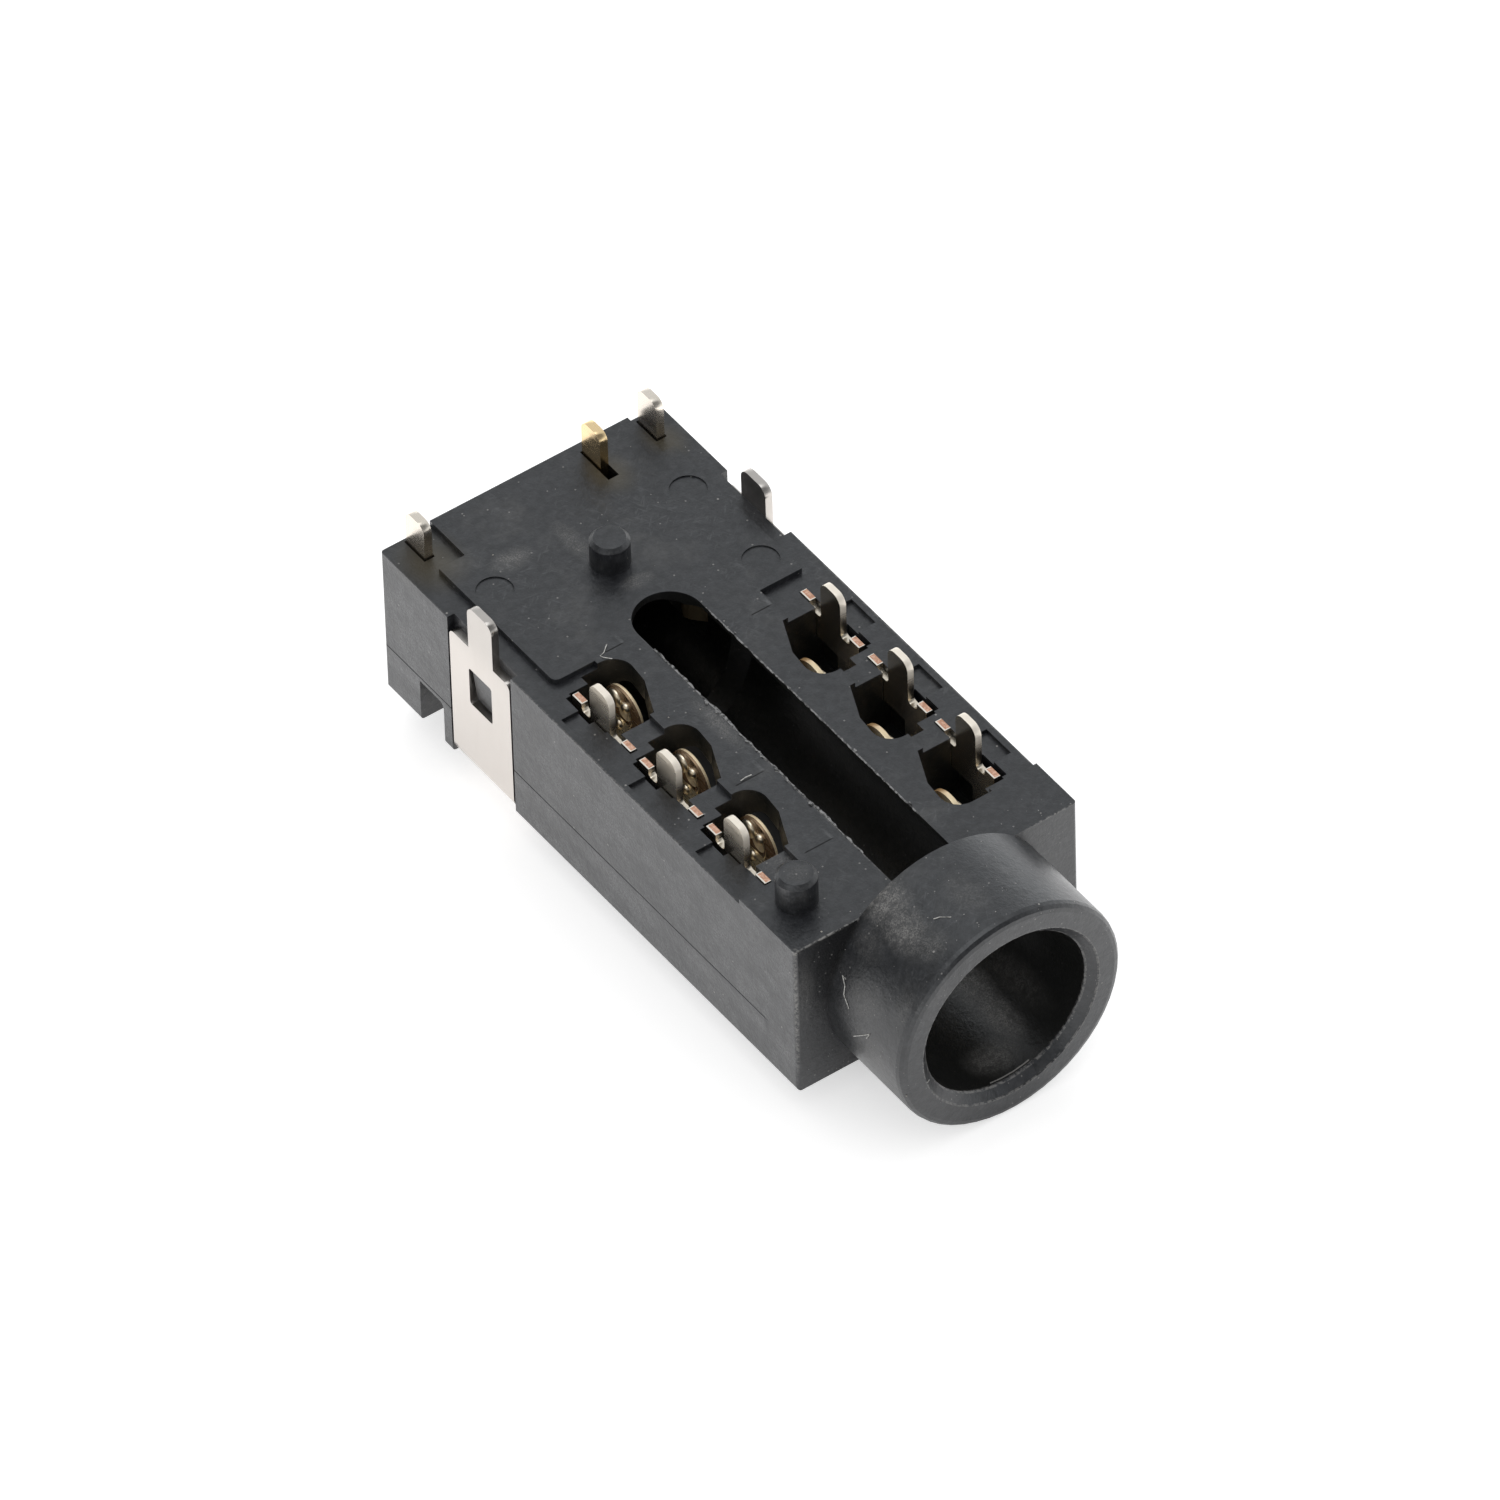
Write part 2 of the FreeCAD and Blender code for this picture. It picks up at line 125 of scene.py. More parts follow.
def anyOf(tree, masks):
    total = masks[0]
    for mask in masks[1:]:
        total = maths(tree, "MAXIMUM", total, mask)
    return total


def softSpot(tree, place, centre, radii):
    # 1 in the middle of an ellipsoid, fading to 0 at its surface; its centre and radii are in millimetres
    away = addNode(tree, "ShaderNodeVectorMath", {"operation": "SUBTRACT"})
    tree.links.new(place, away.inputs[0])
    away.inputs[1].default_value = [c * mm for c in centre]
    share = addNode(tree, "ShaderNodeVectorMath", {"operation": "DIVIDE"})
    tree.links.new(away.outputs[0], share.inputs[0])
    share.inputs[1].default_value = [r * mm for r in radii]
    length = addNode(tree, "ShaderNodeVectorMath", {"operation": "LENGTH"})
    tree.links.new(share.outputs[0], length.inputs[0])
    surface = 1.0
    core = 0.15
    return smoothStep(tree, length.outputs["Value"], surface, core)


def spotsOf(tree, place, spots):
    masks = []
    for centre, radii, strength in spots:
        masks.append(maths(tree, "MULTIPLY", softSpot(tree, place, centre, radii), strength))
    return anyOf(tree, masks)


def newGroup(name, inputs, outputs):
    tree = bpy.data.node_groups.new(name, "ShaderNodeTree")
    for label, kind, value in inputs:
        socket = tree.interface.new_socket(name=label, in_out="INPUT", socket_type=kind)
        if value is not None:
            socket.default_value = value
    for label, kind in outputs:
        tree.interface.new_socket(name=label, in_out="OUTPUT", socket_type=kind)
    return tree, tree.nodes.new("NodeGroupInput"), tree.nodes.new("NodeGroupOutput")


def useGroup(tree, group, links, values=None):
    node = tree.nodes.new("ShaderNodeGroup")
    node.node_tree = group
    for name, value in (values or {}).items():
        node.inputs[name].default_value = value
    for name, source in links.items():
        tree.links.new(source, node.inputs[name])
    return node


# effects that several materials share; a pattern is noise: scale, detail, roughness,
# and the part of its range that is spread over 0 to 1
shared = {
    # cells to a metre, radius of a grain, share of the cells without one, strength
    "grains": ((2300.0, 0.05, 0.6, 1.0), (6800.0, 0.13, 0.86, 0.6)),
    "clouds": (900.0, 3.0, 0.65, 0.5, 0.78),
    "powder": (9000.0, 1.0, 0.55),
    "hairlines": (1.0, 4.0, 0.6, 0.42, 0.72),
    "scratches": (1.0, 2.0, 0.6, 0.56, 0.78),
    "scratchScale": (15000, 3400, 6000),
    "scratchTurns": (28, -47, 80),
    "scratchPatches": (800.0, 2.0, 0.6, 0.40, 0.66),
    "plateClouds": (2200.0, 5.0, 0.6, 0.35, 0.75),
    "plateCloudShare": 0.3,
    # spots on the flash, lint and grit, which each bring their own scale
    "paleSpots": (3.0, 0.55, 0.35, 0.65),
}


# pale dust: single grains and a thin film
def makeDust():
    tree, given, made = newGroup("settledDust", [
        ("Place", "NodeSocketVector", None),
        ("Grains", "NodeSocketFloat", 1.0),
        ("Film", "NodeSocketFloat", 0.3),
    ], [("Mask", "NodeSocketFloat")])
    place = given.outputs["Place"]
    masks = []
    for scale, radius, bare, strength in shared["grains"]:
        cells = addNode(tree, "ShaderNodeTexVoronoi", {"voronoi_dimensions": "3D", "feature": "F1"},
                        {"Scale": scale, "Randomness": 1.0})
        tree.links.new(place, cells.inputs["Vector"])
        near = maths(tree, "LESS_THAN", cells.outputs["Distance"], radius)
        pick = addNode(tree, "ShaderNodeSeparateColor")
        tree.links.new(cells.outputs["Color"], pick.inputs[0])
        kept = maths(tree, "GREATER_THAN", pick.outputs[0], bare)
        masks.append(maths(tree, "MULTIPLY", maths(tree, "MULTIPLY", near, kept), strength))
    grains = maths(tree, "MULTIPLY", anyOf(tree, masks), given.outputs["Grains"])
    clouds = pattern(tree, place, shared["clouds"])
    clouds = maths(tree, "MULTIPLY", clouds, noise(tree, place, *shared["powder"]))
    film = maths(tree, "MULTIPLY", clouds, given.outputs["Film"])
    tree.links.new(maths(tree, "ADD", grains, film, clamp=True), made.inputs["Mask"])
    return tree


# fine hairline scratches in one direction
def makeStreaks():
    tree, given, made = newGroup("hairlineStreaks", [
        ("Place", "NodeSocketVector", None),
    ], [("Mask", "NodeSocketFloat")])
    tree.links.new(pattern(tree, given.outputs["Place"], shared["hairlines"]), made.inputs["Mask"])
    return tree


# short scratches in several directions, in patches
def makeScuffs():
    tree, given, made = newGroup("fineScuffs", [
        ("Place", "NodeSocketVector", None),
    ], [("Mask", "NodeSocketFloat")])
    place = given.outputs["Place"]
    lines = []
    for turn in shared["scratchTurns"]:
        turned = stretched(tree, place, shared["scratchScale"], (0, 0, turn))
        lines.append(pattern(tree, turned, shared["scratches"]))
    patches = pattern(tree, place, shared["scratchPatches"])
    tree.links.new(maths(tree, "MULTIPLY", anyOf(tree, lines), patches), made.inputs["Mask"])
    return tree


dustGroup = makeDust()
streakGroup = makeStreaks()
scuffGroup = makeScuffs()


def newMaterial(name):
    material = bpy.data.materials.new(name)
    material.use_nodes = True
    tree = material.node_tree
    tree.nodes.clear()
    output = tree.nodes.new("ShaderNodeOutputMaterial")
    shader = tree.nodes.new("ShaderNodeBsdfPrincipled")
    tree.links.new(shader.outputs[0], output.inputs["Surface"])
    coordinates = tree.nodes.new("ShaderNodeTexCoord")
    return material, tree, shader, coordinates.outputs["Object"]


def addBump(tree, shader, height, distance, strength=1.0, under=None):
    bump = addNode(tree, "ShaderNodeBump", None, {"Distance": distance, "Strength": strength})
    tree.links.new(height, bump.inputs["Height"])
    if under is not None:
        tree.links.new(under, bump.inputs["Normal"])
    tree.links.new(bump.outputs[0], shader.inputs["Normal"])
    return bump.outputs[0]


def splitPlace(tree, place):
    parts = tree.nodes.new("ShaderNodeSeparateXYZ")
    tree.links.new(place, parts.inputs[0])
    return parts.outputs


# black moulded body; places and lengths in millimetres
plastic = {
    "dark": (0.0080, 0.0088, 0.0108),
    "pale": (0.0215, 0.0228, 0.0260),
    "mottle": (5200.0, 3.0, 0.75, 0.34, 0.7),
    # what is painted over the black, from the lowest to the top: strength and colour; some are real marks,
    # some painted light
    "coats": {
        # partly film, partly painted light that lightens the sides and the rear face
        "film": (1.0, (0.150, 0.152, 0.157)),
        "scuffs": (0.34, (0.095, 0.099, 0.104)),
        # painted reflection: brown patches where the plastic mirrors the rear pins
        "pinReflections": (1.0, (0.050, 0.041, 0.022)),
        # painted shade on the front face beside the nose and around the pegs
        "shade": (1.0, (0.0015, 0.0016, 0.0018)),
        # painted light on the small flat at the bottom of the mouth
        "mouthFlatHighlight": (0.6, (0.030, 0.032, 0.037)),
        "lines": (0.9, (0.002, 0.002, 0.002)),
        # painted shade in the bore, slot and wells
        "hollows": (1.0, (0.0088, 0.0090, 0.0085)),
        # dust, with painted highlights on edges and rims and a painted sheen in the bore
        "dust": (1.0, (0.34, 0.33, 0.315)),
    },
    "roughness": 0.28,
    "roughnessSpread": 0.14,
    "dustRoughness": 0.3,
    "refraction": 1.6,
    "grain": (16000.0, 3.0, 0.6),
    "grainDepth": 0.010,
    "grainStrength": 0.6,
    "waves": (5000.0, 3.0, 0.6),
    "waveHeight": 1.5,
    "streakHeight": 0.3,
    "streakScale": (2600, 800, 3000),
    "streakTurn": (4, 0, 0),
    # pale film on the sides and the rear face, partly film and partly painted light that makes these faces
    # lighter
    "sideFace": 3.17,
    "rearFace": 13.08,
    "blotches": (1700.0, 4.0, 0.7, 0.38, 0.64),
    "speckle": (26000.0, 2.0, 0.55, 0.32, 0.68),
    "streakShare": 0.16,
    "blotchShare": 0.32,
    "filmBase": -0.02,
    "speckleShare": 1.3,
    "speckleBase": 0.05,
    "sideScuffs": 0.3,
    # settled dust, and the painted highlights and sheen that share its colour
    "dustLayer": {"Grains": 0.7, "Film": 0.14},
    "noseDustLayer": {"Grains": 0.85, "Film": 0.0},
    "noseDustScale": (1.9, 1.9, 1.9),
    "noseDustRear": 1.0,
    "hollowDust": 0.25,
    "powderFine": (30000.0, 3.0, 0.7, 0.38, 0.66),
    "powderClumps": (6500.0, 3.0, 0.6, 0.28, 0.60),
    "powderShare": 0.75,
    "powderBase": 0.2,
    "chips": (14000.0, 3.0, 0.6, 0.40, 0.60),
    "spotDustAndSheen": 0.66,
    # edges, partly wear and partly painted highlights
    "edgeWearAndHighlight": 0.7,
    "rimWearAndHighlight": 0.35,
    # painted highlight line at the rear edge of the mouth's flat
    "mouthFlatEdgeHighlight": 0.75,
    # bore, slot and wells: half width and top of each hollow stretch
    "boreRadius": 1.83,
    "boreRun": (-2.06, 0.2),
    "hollowRun": (0.15, 12.9),
    "hollowFloor": -1.83,
    "hollows": ((1.73, 1.75), (2.62, 1.62)),
    # mouth: its rims and the small flat at its bottom, painted lighter, with a painted highlight line at its
    # rear edge
    "noseEnd": -2.25,
    "throat": (-2.12, -2.06),
    "outerRim": (1.965, 2.005),
    "innerRim": (1.79, 1.83),
    "flatSides": (-0.32, 0.56),
    "flatLevels": (-1.99, -1.70),
    "flatRear": -2.0,
    "flatEdge": 0.03,
    # mould lines: narrow steps along the left side and across the board face
    "partingLine": -0.75,
    "partingStart": 0.86,
    "partingFade": 0.2,
    "boardFace": 1.76,
    "witnessLines": ((-1.6, -0.87, 4.1), (-1.6, -0.87, 1.95), (-1.52, -1.0, 8.34), (1.2, 1.75, 7.5)),
    "lineFade": 0.1,
    "stepWidth": 0.017,
    "stepRunOut": 0.5,
    "stepDepth": 0.020,
    # soft spots: centre, radii and strength
    # dust in spots; those in the bore also stand for a painted sheen
    "dustAndSheenSpots": (
        ((-1.30, -0.25, 2.12), (0.65, 0.75, 0.55), 1.0),
        ((-1.40, -0.95, 2.05), (0.60, 0.85, 0.50), 0.9),
        ((-1.30, -1.60, 2.12), (0.50, 0.50, 0.40), 0.45),
        ((-1.90, -0.50, 1.65), (0.50, 0.60, 0.50), 0.3),
        ((-2.48, -1.30, -0.2), (0.40, 0.90, 0.80), 0.35),
        ((-2.35, -1.00, 0.8), (0.40, 0.80, 0.70), 0.3),
        ((-0.20, -1.20, 2.5), (0.50, 0.80, 0.30), 0.25),
        ((0.80, 0.10, -1.61), (0.48, 1.0, 0.45), 1.0),
        ((0.76, -0.80, -1.64), (0.42, 1.0, 0.40), 1.0),
        ((0.10, -1.50, -1.79), (0.8, 0.55, 0.3), 0.75),
        ((1.35, -0.60, -1.20), (0.45, 1.3, 0.45), 0.35),
        ((-2.05, -1.95, 1.20), (0.40, 0.35, 0.60), 0.3),
        ((-3.0, -0.02, 0.6), (0.35, 0.10, 1.2), 0.4),
        ((-1.45, 11.35, 1.77), (0.6, 0.35, 0.2), 0.6),
        ((-0.25, 11.0, 1.77), (0.3, 0.9, 0.2), 0.4),
        ((0.1, 9.5, 1.77), (0.5, 0.25, 0.2), 0.45),
        ((-0.85, 5.6, 1.77), (0.3, 1.1, 0.2), 0.5),
        ((-1.9, 2.2, 1.66), (0.7, 0.6, 0.2), 0.35),
        ((-2.35, 1.08, 2.40), (0.5, 0.5, 0.12), 0.5),
        ((0.0, 10.2, 2.32), (0.45, 0.45, 0.08), 0.35),
    ),
    # pale edges, partly wear and partly painted highlights: centre, radii and strength
    "wornAndHighlitEdges": (
        ((-2.4, 0.0, 1.77), (1.2, 0.05, 0.05), 1.0),
        ((2.6, 0.0, 1.77), (0.8, 0.04, 0.04), 0.7),
        ((-3.17, 0.02, 0.3), (0.07, 0.07, 2.4), 0.8),
        ((-3.15, 0.02, 1.74), (0.12, 0.12, 0.12), 1.0),
        ((-0.7, 4.2, 1.77), (0.045, 5.0, 0.05), 0.9),
        ((0.7, 4.5, 1.77), (0.035, 4.5, 0.04), 0.6),
        ((-3.19, 6.0, 1.645), (0.05, 8.0, 0.05), 0.45),
        ((3.19, 6.0, 1.645), (0.05, 8.0, 0.05), 0.5),
    ),
    # painted shade on the front face beside the nose and on the pegs: centre, radii and strength
    "shadeSpots": (
        ((-2.0, -0.02, 1.3), (1.7, 0.16, 2.4), 0.8),
        ((-1.1, -0.02, 2.0), (1.0, 0.16, 0.8), 0.8),
        ((-2.35, 1.08, 2.0), (0.60, 0.60, 0.42), 0.8),
        ((0.0, 10.22, 1.98), (0.60, 0.60, 0.36), 0.8),
    ),
    # painted reflections of the rear pins on the plastic around them: centre, radii and strength
    "pinReflectionSpots": (
        ((-2.6, 12.3, 1.65), (0.80, 1.1, 0.6), 0.8),
        ((1.33, 12.1, 1.77), (0.55, 0.75, 0.6), 0.8),
        ((2.7, 12.3, 1.65), (0.55, 0.7, 0.6), 0.8),
    ),
}


def hollowShadeMask(tree, x, y, z):
    # painted shade: bore, slot and wells get one flat dark colour, since their black walls get little light
    bore = maths(tree, "LESS_THAN", fromAxis(tree, x, z), plastic["boreRadius"] * mm)
    masks = [maths(tree, "MULTIPLY", bore, within(tree, y, plastic["boreRun"]))]
    aside = maths(tree, "ABSOLUTE", x)
    run = maths(tree, "MULTIPLY", within(tree, y, plastic["hollowRun"]),
                maths(tree, "GREATER_THAN", z, plastic["hollowFloor"] * mm))
    for halfWidth, top in plastic["hollows"]:
        masks.append(allOf(tree, [run, maths(tree, "LESS_THAN", aside, halfWidth * mm),
                                  maths(tree, "LESS_THAN", z, top * mm)]))
    return anyOf(tree, masks)


def slantedStep(tree, value, place, rise):
    # a narrow step that faces one way, with a long flat run-out behind it; rise is 1 or -1
    width = plastic["stepWidth"]
    steep = fade(tree, value, place - rise * width, place + rise * width)
    runOut = fade(tree, value, place + rise * plastic["stepRunOut"], place + rise * width)
    line = within(tree, value, (place - width, place + width))
    return maths(tree, "MULTIPLY", steep, runOut), line


def mouldLines(tree, x, y, z):
    # parting line along the left side, and faint lines across the board face
    start = plastic["partingStart"]
    step, line = slantedStep(tree, z, plastic["partingLine"], -1)
    here = maths(tree, "MULTIPLY", maths(tree, "LESS_THAN", x, -plastic["sideFace"] * mm),
                 fade(tree, y, start, start + plastic["partingFade"]))
    heights = [maths(tree, "MULTIPLY", step, here)]
    lines = [maths(tree, "MULTIPLY", line, here)]
    top = maths(tree, "GREATER_THAN", z, plastic["boardFace"] * mm)
    for left, right, place in plastic["witnessLines"]:
        step, line = slantedStep(tree, y, place, 1)
        here = allOf(tree, [top, fade(tree, x, left, left + plastic["lineFade"]),
                            fade(tree, x, right, right - plastic["lineFade"])])
        heights.append(maths(tree, "MULTIPLY", step, here))
        lines.append(maths(tree, "MULTIPLY", line, here))
    return anyOf(tree, heights), anyOf(tree, lines)


def mouthRims(tree, x, y, z):
    # thin lines, partly wear and partly painted highlights, where the chamfer of the mouth meets the nose's
    # end and the bore
    radius = fromAxis(tree, x, z)
    end = maths(tree, "LESS_THAN", y, plastic["noseEnd"] * mm)
    outer = maths(tree, "MULTIPLY", end, within(tree, radius, plastic["outerRim"]))
    throat = within(tree, y, plastic["throat"])
    inner = maths(tree, "MULTIPLY", throat, within(tree, radius, plastic["innerRim"]))
    return maths(tree, "MAXIMUM", outer, inner)


def mouthFlatHighlight(tree, x, y, z):
    # painted light: the small flat at the bottom of the mouth is painted lighter, and the thin line at its
    # rear edge is a painted highlight
    here = maths(tree, "MULTIPLY", within(tree, x, plastic["flatSides"]),
                 within(tree, z, plastic["flatLevels"]))
    rear = plastic["flatRear"]
    flat = maths(tree, "MULTIPLY", here, within(tree, y, (plastic["noseEnd"], rear)))
    edge = maths(tree, "MULTIPLY", here, within(tree, y, (rear - plastic["flatEdge"], rear)))
    return flat, edge


def sideFilmAndLight(tree, place, streaks, onSide):
    # pale streaks and blotches, broken up by a fine speckle; partly film, partly painted light that lightens
    # the sides
    blotches = pattern(tree, place, plastic["blotches"])
    film = maths(tree, "MULTIPLY_ADD", blotches, plastic["blotchShare"], plastic["filmBase"])
    film = maths(tree, "MULTIPLY_ADD", streaks, plastic["streakShare"], film)
    speckle = pattern(tree, place, plastic["speckle"])
    speckle = maths(tree, "MULTIPLY_ADD", speckle, plastic["speckleShare"], plastic["speckleBase"])
    film = maths(tree, "MULTIPLY", film, speckle, clamp=True)
    return maths(tree, "MULTIPLY", film, onSide)


def dustAndHighlightMask(tree, place, hollows, flatEdge):
    # grains everywhere and closer ones on the nose, powder in spots, partly a painted sheen in the bore, and
    # pale edges, partly wear and partly painted highlights
    x, y, z = splitPlace(tree, place)
    dust = useGroup(tree, dustGroup, {"Place": place}, plastic["dustLayer"]).outputs["Mask"]
    cleaner = maths(tree, "MULTIPLY_ADD", hollows, plastic["hollowDust"] - 1, 1.0)
    dust = maths(tree, "MULTIPLY", dust, cleaner)
    closer = stretched(tree, place, plastic["noseDustScale"])
    grains = useGroup(tree, dustGroup, {"Place": closer}, plastic["noseDustLayer"]).outputs["Mask"]
    grains = allOf(tree, [grains, fade(tree, y, plastic["noseDustRear"], 0.0),
                          maths(tree, "SUBTRACT", 1.0, hollows)])
    powder = maths(tree, "MULTIPLY", pattern(tree, place, plastic["powderFine"]),
                   pattern(tree, place, plastic["powderClumps"]))
    powder = maths(tree, "MULTIPLY_ADD", powder, plastic["powderShare"], plastic["powderBase"])
    powder = maths(tree, "MULTIPLY", spotsOf(tree, place, plastic["dustAndSheenSpots"]), powder)
    chips = pattern(tree, place, plastic["chips"])
    worn = maths(tree, "MULTIPLY", spotsOf(tree, place, plastic["wornAndHighlitEdges"]), chips)
    rims = maths(tree, "MULTIPLY", mouthRims(tree, x, y, z), chips)
    masks = [dust, grains]
    for mask, strength in ((powder, "spotDustAndSheen"), (worn, "edgeWearAndHighlight"), (rims, "rimWearAndHighlight"),
                           (flatEdge, "mouthFlatEdgeHighlight")):
        masks.append(maths(tree, "MULTIPLY", mask, plastic[strength]))
    return anyOf(tree, masks)


def makePlastic():
    material, tree, shader, place = newMaterial("blackMoulding")
    x, y, z = splitPlace(tree, place)
    onSide = maths(tree, "GREATER_THAN", maths(tree, "ABSOLUTE", x), plastic["sideFace"] * mm)
    onSide = maths(tree, "MAXIMUM", onSide, maths(tree, "GREATER_THAN", y, plastic["rearFace"] * mm))
    streakPlace = stretched(tree, place, plastic["streakScale"], plastic["streakTurn"])
    streaks = useGroup(tree, streakGroup, {"Place": streakPlace}).outputs["Mask"]
    scuffs = useGroup(tree, scuffGroup, {"Place": place}).outputs["Mask"]
    fewer = maths(tree, "MULTIPLY_ADD", onSide, plastic["sideScuffs"] - 1, 1.0)
    flat, flatEdge = mouthFlatHighlight(tree, x, y, z)
    steps, lines = mouldLines(tree, x, y, z)
    hollows = hollowShadeMask(tree, x, y, z)
    dust = dustAndHighlightMask(tree, place, hollows, flatEdge)
    masks = {
        "film": sideFilmAndLight(tree, place, streaks, onSide),
        "scuffs": maths(tree, "MULTIPLY", scuffs, fewer),
        # painted reflections of the rear pins
        "pinReflections": spotsOf(tree, place, plastic["pinReflectionSpots"]),
        # painted shade
        "shade": spotsOf(tree, place, plastic["shadeSpots"]),
        "mouthFlatHighlight": flat,
        "lines": lines,
        "hollows": hollows,
        "dust": dust,
    }
    colour = mixColours(tree, pattern(tree, place, plastic["mottle"]), plastic["dark"], plastic["pale"])
    for name, (strength, paint) in plastic["coats"].items():
        colour = mixColours(tree, maths(tree, "MULTIPLY", masks[name], strength), colour, paint)
    tree.links.new(colour, shader.inputs["Base Color"])
    grain = noise(tree, place, *plastic["grain"])
    rough = maths(tree, "MULTIPLY_ADD", grain, plastic["roughnessSpread"], plastic["roughness"])
    rough = maths(tree, "MULTIPLY_ADD", dust, plastic["dustRoughness"], rough, clamp=True)
    tree.links.new(rough, shader.inputs["Roughness"])
    stepped = addBump(tree, shader, steps, plastic["stepDepth"] * mm)
    height = maths(tree, "MULTIPLY_ADD", streaks, plastic["streakHeight"], grain)
    waves = noise(tree, place, *plastic["waves"])
    height = maths(tree, "MULTIPLY_ADD", waves, plastic["waveHeight"], height)
    addBump(tree, shader, height, plastic["grainDepth"] * mm, plastic["grainStrength"], stepped)
    shader.inputs["IOR"].default_value = plastic["refraction"]
    return material


# plated sheet metal: its colour and that of its clouds, how rough it is and how far hairlines add to that
metals = {
    "clipPlating": {"colour": (0.62, 0.578, 0.54), "shade": (0.595, 0.55, 0.51),
                    "roughness": 0.28, "brushed": 0.08, "streakScale": (800, 4200, 900)},
    "leftContactPlating": {"colour": (0.80, 0.72, 0.60), "shade": (0.72, 0.63, 0.51),
                           "roughness": 0.27, "brushed": 0.03, "streakScale": (900, 900, 5000)},
    "rightContactPlating": {"colour": (0.80, 0.72, 0.60), "shade": (0.72, 0.63, 0.51),
                            "roughness": 0.24, "brushed": 0.03, "streakScale": (900, 900, 5000)},
    "goldPlating": {"colour": (0.92, 0.70, 0.40), "shade": (0.84, 0.60, 0.30),
                    "roughness": 0.2, "brushed": 0.08, "streakScale": (900, 900, 5000)},
    "nickelPlating": {"colour": (0.82, 0.75, 0.66), "shade": (0.72, 0.64, 0.54),
                      "roughness": 0.26, "brushed": 0.03, "streakScale": (900, 900, 5000)},
    "dishRimGold": {"colour": (0.97, 0.86, 0.68), "shade": (0.92, 0.78, 0.56),
                    "roughness": 0.32, "brushed": 0.02, "streakScale": (900, 900, 5000)},
}


def makeMetal(name, tint=None):
    # a tint changes the colour, the roughness and the metal share in places
    facts = metals[name]
    material, tree, shader, place = newMaterial(name)
    clouds = maths(tree, "MULTIPLY", pattern(tree, place, shared["plateClouds"]), shared["plateCloudShare"])
    base = mixColours(tree, clouds, facts["colour"], facts["shade"])
    shader.inputs["Metallic"].default_value = 1.0
    streakPlace = stretched(tree, place, facts["streakScale"])
    streaks = useGroup(tree, streakGroup, {"Place": streakPlace}).outputs["Mask"]
    rough = maths(tree, "MULTIPLY_ADD", streaks, facts["brushed"], facts["roughness"])
    if tint is not None:
        base, rough = tint(tree, shader, place, base, rough)
    tree.links.new(base, shader.inputs["Base Color"])
    tree.links.new(rough, shader.inputs["Roughness"])
    return material


# the six stamped contacts; places and lengths in millimetres
contact = {
    "pitch": 2.11,
    # pads beside the blade, sheared off the carrier: bare copper inside a plated border
    "padLevel": 1.66,
    "padStart": 0.58,
    "padEnd": 0.92,
    "padBorder": 0.03,
    "plateMiddle": 2.46,
    "plateHalf": 0.07,
    "copper": (0.60, 0.33, 0.22),
    "worn": (0.80, 0.50, 0.37),
    "wear": (15000.0, 3.0, 0.55, 0.4, 0.65),
    "border": (0.93, 0.86, 0.76),
    # sheared edges of the blade, partly their finish and partly a painted highlight: the facing where they
    # begin, and their rise
    "edgeFacing": (0.85, 0.45),
    "edgeRise": (1.78, 2.26),
    "sheared": (0.92, 0.85, 0.74),
    "shearedMetal": 0.38,
    "shearedRoughness": 0.42,
    # spring leaf: where each colour lies, and how far it takes the place of metal; the brown spot at the
    # leaf's front and its dark edge band are painted shade, the sheen and the pale rim are painted highlights
    "goldInside": 2.2,
    "leafShadeSpot": ((1.64, 0.18, 1.05), (0.10, 0.34, 0.50)),
    "sheenSpot": ((1.64, 0.76, 1.24), (0.14, 0.34, 0.30)),
    "edgeOfLeaf": (1.592, 1.641),
    "glimpseFade": (0.66, 0.30),
    "glimpseRise": (0.9, 1.2),
    "coats": {
        "gold": (0.85, (0.93, 0.77, 0.50)),
        # painted shade at the front of the leaf
        "leafShade": (0.8, (0.66, 0.43, 0.25)),
        "sheen": (1.0, (1.0, 0.86, 0.66)),
        # painted highlight: a bright line along the leaf's edge
        "rim": (0.8, (1.0, 0.82, 0.54)),
        "glimpse": (0.85, (0.50, 0.28, 0.11)),
        # painted shade on the leaf's edge band, leaving a thin bright line
        "leafEdgeShade": (0.9, (0.20, 0.115, 0.06)),
    },
    "dullness": {"gold": 0.35, "leafShade": 0.3, "sheen": 0.65, "rim": 0.45},
}
# side is -1 on the left and 1 on the right, and middle is the place of the row's middle contact; only the
# left blades are painted lighter towards their tips with less metal there, a painted highlight, and the right
# leaves show a brown glimpse, not the painted shade on the leaf's edge
rows = {
    "left": {"side": -1, "middle": 4.86, "rim": 1.592, "coats": ("gold", "leafShade", "sheen", "rim", "leafEdgeShade"),
             "tipBrightening": ((1.85, 2.3, 0.20), (2.27, 2.42, 0.52))},
    "right": {"side": 1, "middle": 4.5, "rim": 2.2, "coats": ("gold", "leafShade", "sheen", "rim", "glimpse"),
              "tipBrightening": ()},
}


